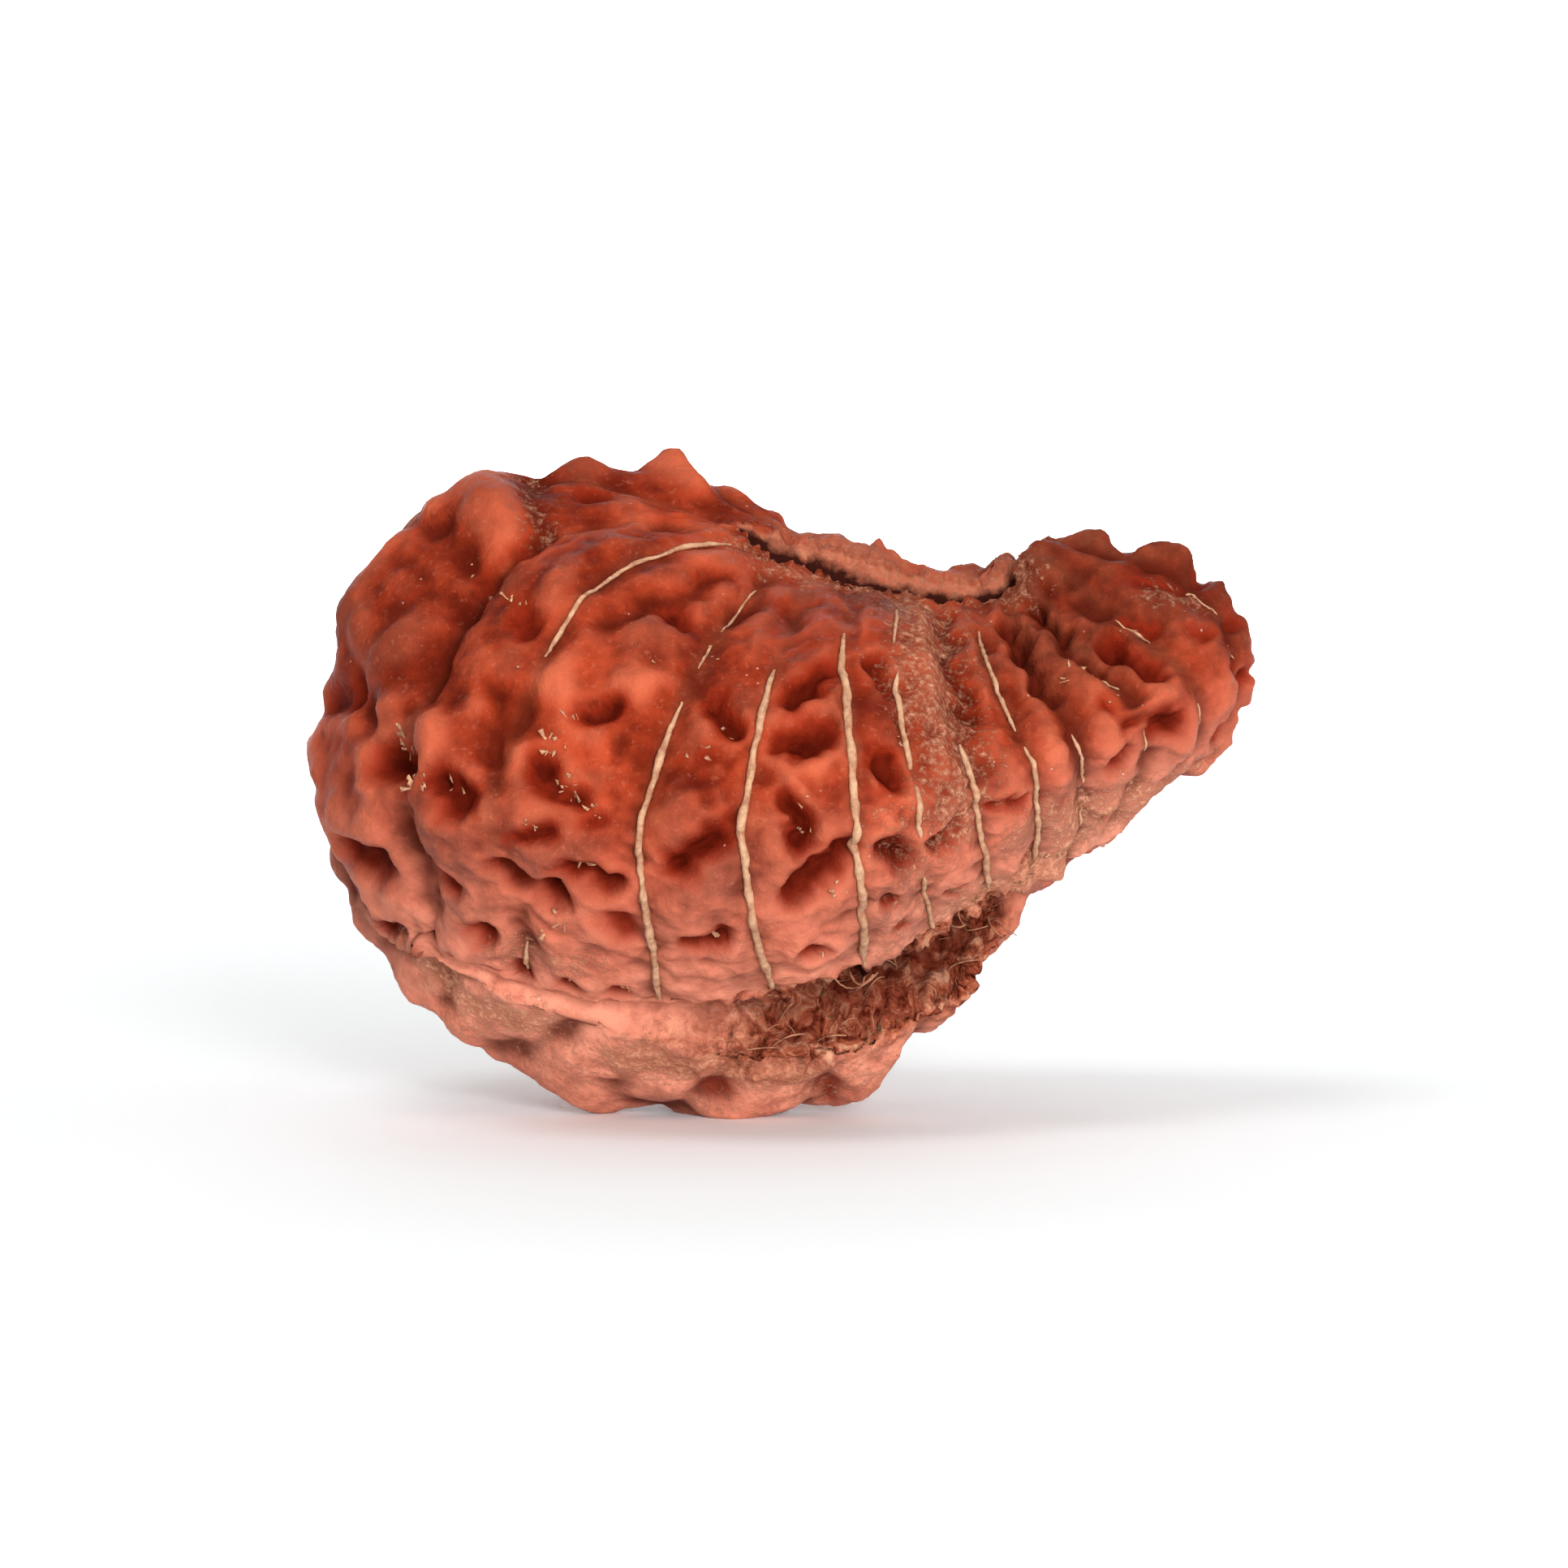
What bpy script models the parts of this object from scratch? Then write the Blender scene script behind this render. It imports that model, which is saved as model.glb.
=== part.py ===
"""A twenty-two mukhi rudraksha: one ridged stone of the rudraksha tree, bent like a kidney."""
import math
import random

import bmesh
import bpy
import numpy as np
from mathutils import Vector, noise

MM = 0.001

# Driving dimensions, in millimetres
STONE_LENGTH = 39.2
FLAT_SPOT_CUT = 0.6
FLAT_SPOT_EVENNESS = 0.04
TILT = math.radians(5.0)

# Mesh fineness
MUKHIS = 22
COLUMNS_PER_MUKHI = 20
ROWS = 76
WALL_ROWS = 7
TRIANGLES = 11300
SEED = 22

# Relief behind, by rule: each pit or knob keeps its room clear, in millimetres
BACK_TRIES = 900
BACK_MUKHIS = (11.2, 21.8)
BACK_HEIGHTS = (0.08, 0.94)
BROAD_FROM = 17
BROAD_ROOM = (1.5, 2.7)
NARROW_ROOM = (1.2, 1.9)
LINE_MARGIN = 0.16
PIT_SHARE = 0.6
PIT_DEPTHS = (0.5, 1.1)
PIT_RADIUS_SHARE = 0.3
KNOB_HEIGHTS = (0.3, 0.6)
KNOB_RADIUS_SHARE = 0.5
LEAN_ACROSS = 0.12
LEAN_DOWN = 0.03

# The cage: five rings of points around the stone, from the upper slit's lip to the lower
# hollow's lip. Each point is (right, up, back) in millimetres, seen level with the stone's
# own tilt. The stations count the mukhi lines: 0 to 11 along the front, 11 to 22 behind.
STATIONS = (0, 1, 2, 4, 6, 8, 10, 11, 13, 15, 17, 19, 20, 21)
UPPER_LIP = (
    (-2.0, 10.6, 1.0), (-1.2, 9.9, 0.3), (-0.1, 9.1, -0.2), (3.2, 8.2, -0.4), (6.3, 7.5, -0.2),
    (9.1, 7.9, 0.6), (10.1, 9.5, 1.4), (10.9, 9.9, 2.2), (9.6, 8.8, 2.6), (7.6, 8.2, 1.7),
    (4.7, 8.8, 1.2), (1.5, 9.8, 1.3), (0.2, 10.2, 1.4), (-1.2, 10.5, 1.4))
SHOULDER = (
    (-10.5, 9.8, -2.2), (-7.5, 8.2, -5.0), (-3.3, 5.3, -7.6), (2.4, 5.5, -7.2), (6.5, 5.0, -5.0),
    (10.1, 5.5, -3.4), (13.6, 7.0, -1.6), (15.8, 8.7, 0.4), (14.8, 8.1, 4.6), (9.8, 7.5, 5.8),
    (4.6, 7.7, 6.0), (-1.6, 9.8, 7.2), (-6.4, 11.8, 6.6), (-12.6, 12.0, 2.8))
WAIST = (
    (-15.5, 1.4, -6.0), (-11.6, -0.3, -9.4), (-5.9, -1.5, -11.2), (2.8, -0.6, -10.8), (7.8, 0.7, -8.2),
    (12.0, 2.0, -6.0), (16.8, 4.0, -3.2), (18.9, 4.9, -0.6), (17.8, 3.5, 5.0), (10.8, 1.2, 9.0),
    (2.8, -0.8, 11.4), (-7.9, -0.8, 11.8), (-14.6, 0.4, 9.0), (-19.1, 1.7, 2.0))
BELLY = (
    (-14.4, -4.1, -5.0), (-10.7, -5.1, -7.8), (-5.5, -6.0, -9.2), (3.1, -4.8, -9.0), (8.3, -2.5, -6.8),
    (12.5, -0.3, -4.4), (16.6, 1.0, -1.4), (17.6, 1.4, 1.0), (15.6, 0.1, 4.6), (10.1, -4.3, 5.2),
    (4.6, -10.8, 3.6), (-5.7, -13.3, 3.4), (-13.0, -10.5, 3.2), (-17.3, -6.1, 1.4))
LOWER_LIP = (
    (-14.5, -6.6, -2.6), (-10.6, -8.1, -4.0), (-5.0, -8.9, -4.6), (3.3, -7.4, -4.6), (8.5, -4.7, -3.4),
    (11.6, -3.1, -1.4), (13.3, -1.8, 1.0), (13.5, -1.4, 2.0), (12.6, -2.3, 2.8), (10.3, -4.8, 1.6),
    (6.0, -9.5, -0.6), (-2.0, -11.2, -2.6), (-8.2, -9.8, -3.2), (-13.0, -7.9, -2.6))
RINGS = (UPPER_LIP, SHOULDER, WAIST, BELLY, LOWER_LIP)
RING_HEIGHTS = np.array((0.0, 0.22, 0.5, 0.78, 1.0))

# The slits: depth in millimetres along the stations, how near its floor is to the front lip,
# and the way in. Their lips round over by up to the longest reach.
UPPER_SLIT = ((0.0, 0.3), (0.8, 1.3), (2.5, 2.6), (8.5, 2.8), (10.2, 1.6), (11.0, 0.4))
LOWER_HOLLOW = (
    (0.0, 0.4), (1.6, 0.5), (2.4, 1.6), (3.6, 3.0), (4.7, 4.4), (5.8, 3.0), (7.0, 0.7), (11.0, 0.4))
UPPER_FLOOR_SHARE = 0.66
LOWER_FLOOR_SHARE = 0.5
UPPER_INWARD = np.array((0.0, -0.97, 0.0))
LOWER_INWARD = np.array((0.0, 0.5, 0.87))
LIP_REACH = 0.2
LIP_REACH_BY_DEPTH = 0.5
LONGEST_REACH = 0.7
FLOOR_PULL = 0.5

# Lines between mukhis that run beside their station: {line: drift in mukhi widths}
LINE_DRIFT = {2: 0.04, 3: -0.11, 5: -0.15, 6: -0.1, 7: -0.05, 8: -0.08}
LINE_DEPTH = 0.3
LINE_WIDTH = 0.75
MUKHI_SWELL = 0.42
MUKHI_BLUNTNESS = 0.8
# How far the mukhis stand out along the stone, as (mukhi, share)
RIBS = (
    (0, 0.8), (1.5, 0.7), (2.2, 0.3), (5.0, 0.3), (6.0, 0.6), (7.0, 1.0), (10.0, 0.8), (13.0, 0.9),
    (20.0, 0.9), (22.0, 0.8))
RIB_HEIGHTS = (-0.05, 0.16)
FULL_RIB_WIDTH = 2.0
LEAST_RIB = 0.25

# Unevenness, as (height, size of a lump) in millimetres
BROAD_LUMPS = (0.3, 4.2)
LUMPS = (0.24, 1.7)
HOLLOW_LUMPS = (0.25, 0.8)
SLIT_LUMPS = (0.16, 0.6)
LUMP_ROUGHNESS = 0.6
LUMP_RATIO = 2.1
# The relief's own bend, as (amount, size), and where in the noise its three directions lie
WARP = (0.45, 1.5)
WARP_PLACES = (Vector((0.0, 0.0, 0.0)), Vector((31.7, 5.3, 11.9)), Vector((7.1, 43.9, 23.3)))
# How much finer the lumps and dimples are towards the narrow end, as (mukhi, share)
FINER = ((0, 0.0), (4.5, 0.0), (8.0, 0.7), (14.0, 0.7), (18.0, 0.0), (22.0, 0.0))
# Folds run down from the upper slit to these heights, as (mukhi, height)
FOLD_ENDS = ((0, 0.22), (5, 0.22), (7, 0.3), (9, 0.42), (12, 0.35), (16, 0.2), (22, 0.22))
FOLD_HEIGHT = 0.34
FOLDS_PER_MUKHI = 1.9
FOLD_LENGTH = 0.38
FOLD_BEND = 0.25
FOLD_START = 0.1
FOLD_FADE = 0.2
FOLD_SLICE = 4.0
DIMPLE_DEPTH = 0.4
DIMPLE_SPACING = 2.1
DIMPLE_RADIUS = 0.34
DIMPLES_AMONG_FOLDS = 0.2
EVEN_DEPTH = 0.7
UNEVEN_DEPTH = 0.6
UNEVEN_SIZE = 3.0

# A pit's mouth against its stated radius, its rim's height against the depth, and the rim's
# place and width against the mouth
PIT_MOUTH = 0.8
PIT_STEEPNESS = 2.5
RIM_HEIGHT = 0.16
RIM_PLACE = 1.8
RIM_WIDTH = 0.6
SMALL_KNOB = 1.0
GROOVE_SHARE = 0.8

# Hand-placed relief: (height, radius, route), the route as (mukhi, height) points on the cage
SWELLS = (
    (1.3, 2.4, ((21.0, 0.31), (21.05, 0.37))), (0.6, 2.2, ((20.98, 0.24),)), (0.7, 1.8, ((21.0, 0.5),)),
    (-0.5, 2.0, ((20.3, 0.17),)), (0.4, 1.3, ((14.3, 0.12),)), (0.6, 1.5, ((10.1, 0.04), (11.0, 0.04))),
    (0.3, 1.6, ((11.3, 0.76), (12.2, 0.76))), (-0.7, 1.6, ((16.2, 0.84), (17.0, 0.85))),
    (-0.3, 1.5, ((19.3, 0.1),)), (0.35, 1.3, ((5.5, 0.08), (5.45, 0.33))), (0.5, 1.6, ((1.6, 0.26),)),
    (0.4, 2.0, ((2.5, 0.45),)), (0.35, 2.2, ((3.5, 0.8),)), (0.4, 2.2, ((0.5, 0.62),)))
KNOBS = (
    (1.6, 1.2, ((20.17, 0.14),)), (1.1, 1.0, ((20.7, 0.15),)), (0.5, 1.2, ((21.0, 0.2),)),
    (1.0, 1.35, ((21.2, 0.36), (21.35, 0.385))), (0.5, 1.0, ((21.35, 0.2), (21.7, 0.22))),
    (0.5, 1.0, ((20.8, 0.29),)), (0.6, 0.9, ((20.9, 0.38),)), (0.8, 1.1, ((20.9, 0.44),)),
    (0.4, 1.0, ((21.35, 0.31), (21.6, 0.32))), (0.6, 1.2, ((20.95, 0.5),)),
    (0.5, 0.9, ((0.6, 0.24), (0.85, 0.27))), (0.9, 1.25, ((1.12, 0.345),)), (0.6, 0.9, ((1.05, 0.44),)),
    (0.8, 0.95, ((0.3, 0.455),)), (0.6, 0.8, ((21.8, 0.45), (22.0, 0.455))), (0.6, 0.9, ((1.72, 0.315),)),
    (0.5, 0.9, ((2.25, 0.49),)), (0.5, 0.9, ((3.35, 0.43), (3.7, 0.42))),
    (0.6, 1.0, ((21.45, 0.61), (21.7, 0.64))), (0.5, 0.6, ((21.8, 0.63), (21.85, 0.72))),
    (0.4, 1.3, ((2.3, 0.7),)), (0.4, 1.0, ((1.3, 0.62),)), (0.5, 1.0, ((1.05, 0.53), (1.3, 0.53))),
    (0.4, 0.9, ((2.55, 0.66),)), (0.4, 0.9, ((3.2, 0.6),)), (0.4, 0.8, ((4.3, 0.57),)),
    (0.5, 0.8, ((4.75, 0.52),)), (0.4, 0.8, ((6.5, 0.55),)), (0.4, 0.8, ((7.3, 0.53),)),
    (0.5, 0.8, ((8.35, 0.57),)), (0.5, 0.8, ((9.3, 0.51),)), (0.4, 0.7, ((9.7, 0.68),)),
    (0.7, 0.9, ((11.75, 0.22),)), (0.5, 0.8, ((11.6, 0.32),)), (0.35, 0.9, ((11.2, 0.74),)),
    (0.4, 0.9, ((9.3, 0.99), (10.0, 0.97))), (0.8, 0.55, ((17.3, 0.07),)), (0.5, 0.6, ((15.85, 0.09),)),
    (0.4, 0.7, ((15.0, 0.08),)), (0.6, 0.8, ((14.5, 0.08),)), (0.5, 0.7, ((12.9, 0.13),)),
    (0.3, 1.0, ((20.5, 0.8),)), (0.3, 1.1, ((20.0, 0.82),)), (0.3, 1.2, ((19.4, 0.83),)),
    (0.25, 0.9, ((15.4, 0.83),)), (0.3, 1.0, ((20.95, 0.66),)), (0.3, 0.9, ((20.9, 0.74),)),
    (0.4, 0.7, ((7.6, 0.9), (8.3, 0.86))), (0.4, 0.8, ((6.6, 1.0), (7.4, 1.0))))
PITS = (
    (1.0, 0.75, ((0.45, 0.29), (0.78, 0.32))), (1.0, 0.6, ((1.62, 0.185), (1.7, 0.195))),
    (1.3, 0.8, ((1.4, 0.37), (1.65, 0.34))), (1.0, 0.6, ((1.2, 0.445), (1.38, 0.465))),
    (0.9, 0.6, ((1.55, 0.475),)), (0.6, 0.45, ((1.68, 0.51),)), (0.7, 0.42, ((1.2, 0.57), (1.42, 0.55))),
    (1.1, 0.62, ((1.5, 0.635), (1.75, 0.66))), (1.5, 0.7, ((0.97, 0.69), (1.2, 0.715), (1.38, 0.72))),
    (1.1, 0.75, ((0.45, 0.53), (0.75, 0.54))), (1.4, 0.8, ((21.8, 0.53), (22.1, 0.53))),
    (1.0, 0.95, ((21.4, 0.67), (21.65, 0.7))), (0.7, 0.7, ((0.25, 0.765),)), (0.8, 0.7, ((0.6, 0.885),)),
    (0.6, 0.5, ((0.4, 0.975), (0.65, 1.0))), (0.5, 0.5, ((0.95, 0.99),)), (0.8, 0.6, ((1.35, 0.975),)),
    (0.7, 0.5, ((1.72, 0.975),)), (0.5, 0.8, ((1.8, 0.77),)), (0.5, 0.6, ((0.05, 0.22),)),
    (0.4, 0.6, ((21.9, 0.28),)), (0.8, 0.75, ((21.1, 0.45), (21.4, 0.45))),
    (1.0, 0.65, ((2.3, 0.29), (2.55, 0.325))), (0.5, 0.45, ((2.4, 0.38),)),
    (0.8, 0.7, ((3.25, 0.31), (3.55, 0.27), (3.8, 0.26))), (1.3, 0.8, ((3.35, 0.37), (3.65, 0.365))),
    (1.3, 0.52, ((3.3, 0.47), (3.42, 0.53), (3.45, 0.575))), (0.7, 0.5, ((4.65, 0.24), (4.72, 0.3))),
    (0.9, 0.55, ((4.45, 0.42), (4.5, 0.47))), (1.1, 0.6, ((4.4, 0.65), (4.6, 0.69))),
    (0.8, 0.5, ((4.45, 0.825),)), (0.6, 0.45, ((4.5, 0.93),)),
    (1.1, 0.65, ((3.3, 0.695), (3.55, 0.67), (3.8, 0.63))), (1.0, 0.7, ((3.45, 0.915),)),
    (1.0, 0.65, ((2.35, 0.58), (2.5, 0.55), (2.7, 0.53))), (0.6, 0.5, ((2.4, 0.62),)),
    (1.0, 0.58, ((2.38, 0.85), (2.62, 0.84))), (0.6, 0.42, ((2.45, 1.0),)), (0.4, 0.35, ((2.7, 1.0),)),
    (0.4, 0.4, ((5.45, 0.39),)), (0.4, 0.4, ((5.35, 0.53),)), (0.8, 0.5, ((5.2, 0.68), (5.45, 0.66))),
    (0.8, 0.5, ((5.45, 0.9),)), (0.6, 0.42, ((6.3, 0.65), (6.6, 0.68))), (0.6, 0.5, ((6.7, 0.92),)),
    (0.4, 0.4, ((7.4, 0.77),)), (0.6, 0.5, ((8.5, 0.45),)), (0.5, 0.4, ((8.85, 0.53),)),
    (1.2, 0.72, ((8.55, 0.68),)), (0.4, 0.4, ((8.05, 0.88),)), (0.8, 0.5, ((8.6, 0.9),)),
    (1.2, 0.58, ((9.45, 0.27), (9.55, 0.34), (9.6, 0.42))), (1.1, 0.7, ((9.25, 0.59), (9.5, 0.6))),
    (0.6, 0.5, ((9.7, 0.83),)), (0.6, 0.42, ((10.0, 0.24), (10.2, 0.3))), (0.7, 0.5, ((10.5, 0.37),)),
    (0.5, 0.5, ((10.8, 0.32),)), (0.6, 0.45, ((10.6, 0.2), (10.8, 0.27))), (0.4, 0.5, ((10.5, 0.17),)),
    (0.8, 0.6, ((10.7, 0.72),)), (0.5, 0.5, ((11.2, 0.38),)), (0.4, 0.5, ((10.85, 0.5),)),
    (0.6, 0.5, ((16.75, 0.02),)), (0.4, 0.9, ((18.9, 0.93),)))
GROOVES = (
    (0.7, 0.65, ((1.3, 0.25), (1.45, 0.19), (1.55, 0.13), (1.65, 0.08))),
    (0.5, 0.6, ((2.05, 0.04), (2.08, 0.13))), (0.5, 0.55, ((0.75, 0.38), (0.85, 0.46))),
    (0.6, 0.6, ((21.15, 0.28), (21.45, 0.26), (21.75, 0.28))), (0.4, 0.5, ((21.6, 0.38), (21.7, 0.41))),
    (0.4, 0.6, ((0.35, 0.07), (0.45, 0.12))), (0.5, 0.5, ((1.75, 0.34), (1.7, 0.38))),
    (0.55, 0.55, ((6.15, 0.05), (6.2, 0.2), (6.25, 0.36))), (0.35, 0.32, ((7.1, 0.12), (7.15, 0.35))),
    (0.85, 0.55, ((7.75, 0.1), (7.8, 0.22), (7.85, 0.33))),
    (1.0, 0.55, ((8.6, 0.06), (8.75, 0.14), (8.85, 0.24), (8.9, 0.36))),
    (0.5, 0.45, ((9.55, 0.08), (9.8, 0.18))), (0.3, 0.4, ((4.1, 0.08), (4.15, 0.18))),
    (0.7, 0.6, ((20.85, 0.175), (21.4, 0.17), (21.9, 0.19))))

# The closed crease between the front mukhis and the lower lobe
CREASES = (
    (0.9, 0.4, ((21.55, 0.93), (21.8, 0.99), (0.1, 1.0))),
    (0.8, 0.35, ((20.2, 0.8), (20.6, 0.9), (20.95, 0.98))),
    (0.5, 0.3, ((21.2, 0.76), (21.1, 0.88), (21.2, 0.98))), (0.4, 0.3, ((19.5, 0.9), (19.3, 1.0))))


def around(ring, mukhi):
    """Points of one ring at each mukhi number: a smooth closed curve through its stations."""
    knots = np.array(STATIONS, float)
    knots = np.concatenate((knots[-2:] - MUKHIS, knots, knots[:2] + MUKHIS))
    points = np.array(ring)
    points = np.concatenate((points[-2:], points, points[:2]))
    gaps = np.diff(knots)[:, None]
    slopes = np.diff(points, axis=0) / gaps
    tangents = (slopes[:-1] * gaps[1:] + slopes[1:] * gaps[:-1]) / (gaps[1:] + gaps[:-1])
    knots = knots[1:-1]
    points = points[1:-1]
    mukhi = np.mod(mukhi, MUKHIS)
    start = np.searchsorted(knots, mukhi, side="right") - 1
    gap = (knots[start + 1] - knots[start])[..., None]
    part = (mukhi - knots[start])[..., None] / gap
    return hermite(points[start], points[start + 1], tangents[start] * gap, tangents[start + 1] * gap, part)


def hermite(start, end, start_tangent, end_tangent, part):
    """A cubic from start to end, with the tangents that it has at both."""
    square = part ** 2
    cube = part ** 3
    return ((2 * cube - 3 * square + 1) * start + (cube - 2 * square + part) * start_tangent
            + (3 * square - 2 * cube) * end + (cube - square) * end_tangent)


def cage_points(mukhi, height):
    """The smooth stone, without relief, at arrays of mukhi numbers and heights."""
    mukhi, height = np.broadcast_arrays(np.asarray(mukhi, float), np.asarray(height, float))
    rings = np.stack([around(ring, mukhi) for ring in RINGS])
    tangents = np.empty_like(rings)
    for i in range(1, len(rings) - 1):
        tangents[i] = (rings[i + 1] - rings[i - 1]) / (RING_HEIGHTS[i + 1] - RING_HEIGHTS[i - 1])
    tangents[0] = 1.5 * (rings[1] - rings[0]) / RING_HEIGHTS[1] - 0.5 * tangents[1]
    tangents[-1] = 1.5 * (rings[-1] - rings[-2]) / (1.0 - RING_HEIGHTS[-2]) - 0.5 * tangents[-2]
    result = np.empty(mukhi.shape + (3,))
    band = np.clip(np.searchsorted(RING_HEIGHTS, height, side="right") - 1, 0, len(RINGS) - 2)
    for i in range(len(RINGS) - 1):
        here = band == i
        gap = RING_HEIGHTS[i + 1] - RING_HEIGHTS[i]
        part = ((height[here] - RING_HEIGHTS[i]) / gap)[:, None]
        result[here] = hermite(rings[i][here], rings[i + 1][here],
                               tangents[i][here] * gap, tangents[i + 1][here] * gap, part)
    return result


def slit_wall(lip, lip_tangent, depths, floor_share, inward):
    """Rows from a lip down to the floor line, which front and back share column for column."""
    partner = lip[::-1]
    columns = len(lip)
    front = np.arange(columns) <= columns // 2
    share = np.where(front, floor_share, 1.0 - floor_share)[:, None]
    floor = lip * share + partner * (1.0 - share) + depths[:, None] * inward
    half = columns // 2
    floor[half + 1:] = floor[:columns - half - 1][::-1]
    across = partner - lip
    lip_tangent = lip_tangent / np.linalg.norm(lip_tangent, axis=1, keepdims=True)
    reach = np.minimum(LONGEST_REACH, LIP_REACH + LIP_REACH_BY_DEPTH * depths)[:, None]
    rows = []
    for row in range(1, WALL_ROWS + 1):
        part = row / WALL_ROWS
        rows.append(hermite(lip, floor, lip_tangent * reach, across * FLOOR_PULL, part))
    rows[-1] = floor
    return np.stack(rows)


def stone_grid(mukhi, rows):
    """The whole smooth surface: the upper slit's walls, the body and the lower hollow's walls."""
    height = np.linspace(0.0, 1.0, rows + 1)
    body = cage_points(mukhi[None, :], height[:, None])
    folded = np.minimum(mukhi, MUKHIS - mukhi)
    step = 0.01
    upper_tangent = body[0] - cage_points(mukhi, step)
    lower_tangent = body[-1] - cage_points(mukhi, 1.0 - step)
    upper_depths = np.interp(folded, *np.array(UPPER_SLIT).T)
    lower_depths = np.interp(folded, *np.array(LOWER_HOLLOW).T)
    upper = slit_wall(body[0], upper_tangent, upper_depths, UPPER_FLOOR_SHARE, UPPER_INWARD)
    lower = slit_wall(body[-1], lower_tangent, lower_depths, LOWER_FLOOR_SHARE, LOWER_INWARD)
    grid = np.concatenate((upper[::-1], body, lower))
    top_part = np.linspace(-1.0, 0.0, WALL_ROWS + 1)[:-1]
    bottom_part = 1.0 + np.linspace(0.0, 1.0, WALL_ROWS + 1)[1:]
    return grid, np.concatenate((top_part, height, bottom_part))


def grid_normals(grid):
    """Outward normals of a grid that closes around the stone."""
    ring = grid[:, :-1]
    along = np.roll(ring, -1, axis=1) - np.roll(ring, 1, axis=1)
    along = np.concatenate((along, along[:, :1]), axis=1)
    down = np.gradient(grid, axis=0)
    normals = np.cross(along, down)
    return normals / np.maximum(np.linalg.norm(normals, axis=2, keepdims=True), 1e-9)


def distance_to_route(points, route):
    """How far each point is from a route given as (mukhi, height) points on the cage."""
    anchors = [cage_points(mukhi, height) for mukhi, height in route]
    nearest = np.full(points.shape[:-1], np.inf)
    for start, end in zip(anchors, anchors[1:] or anchors):
        span = end - start
        along = np.sum((points - start) * span, axis=-1)
        part = np.clip(along / max(np.sum(span ** 2), 1e-9), 0.0, 1.0)
        nearest = np.minimum(nearest, np.linalg.norm(points - start - part[..., None] * span, axis=-1))
    return nearest


def placed_by_hand(mukhi, height):
    """Whether a place behind shows in front, where the relief is laid by hand."""
    low_lobe = mukhi > 18.0 and height > 0.84
    left_side = mukhi > 20.8 and 0.14 < height < 0.74
    return low_lobe or left_side


def back_relief():
    """Pits scattered over the mukhis behind, each with room around it, and knobs beside them."""
    chance = random.Random(SEED)
    pits = []
    knobs = []
    taken = []
    for _ in range(BACK_TRIES):
        mukhi = chance.uniform(*BACK_MUKHIS)
        height = chance.uniform(*BACK_HEIGHTS)
        room = chance.uniform(*(BROAD_ROOM if mukhi > BROAD_FROM else NARROW_ROOM))
        place = cage_points(mukhi, height)
        crowded = any(np.linalg.norm(place - other) < room for other in taken)
        if crowded or placed_by_hand(mukhi, height) or abs(mukhi - round(mukhi)) < LINE_MARGIN:
            continue
        taken.append(place)
        across = chance.uniform(-LEAN_ACROSS, LEAN_ACROSS)
        down = chance.uniform(-LEAN_DOWN, LEAN_DOWN)
        route = ((mukhi - across, height - down), (mukhi + across, height + down))
        if chance.random() < PIT_SHARE:
            pits.append((chance.uniform(*PIT_DEPTHS), PIT_RADIUS_SHARE * room, route))
        else:
            knobs.append((chance.uniform(*KNOB_HEIGHTS), KNOB_RADIUS_SHARE * room, route))
    return pits, knobs


def along_noise(points, size, measure):
    """A noise measure at every point of a grid, with lumps of the size given."""
    values = np.array([measure(Vector(point)) for point in points.reshape(-1, 3) / size])
    return values.reshape(points.shape[:-1] + values.shape[1:])


def lumpiness(points, size, octaves):
    """Smooth uneven noise between about -1 and 1."""
    def measure(point):
        return noise.fractal(point, LUMP_ROUGHNESS, LUMP_RATIO, octaves)

    return along_noise(points, size, measure)


def relief_bend(points):
    """How far each point is moved before the relief is laid, so that no pit is quite round."""
    amount, size = WARP

    def measure(point):
        return [noise.fractal(point + place, LUMP_ROUGHNESS, LUMP_RATIO, 2) for place in WARP_PLACES]

    return amount * along_noise(points, size, measure)


def fade_in(value, start, end):
    """A smooth rise from 0 at the start to 1 at the end."""
    part = np.clip((value - start) / (end - start), 0.0, 1.0)
    return part * part * (3.0 - 2.0 * part)


def mukhi_width(mukhi, height):
    """How wide one mukhi is at each place, in millimetres."""
    step = 0.02
    across = cage_points(mukhi + step, height) - cage_points(mukhi - step, height)
    return np.linalg.norm(across, axis=2) / (2.0 * step)


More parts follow.
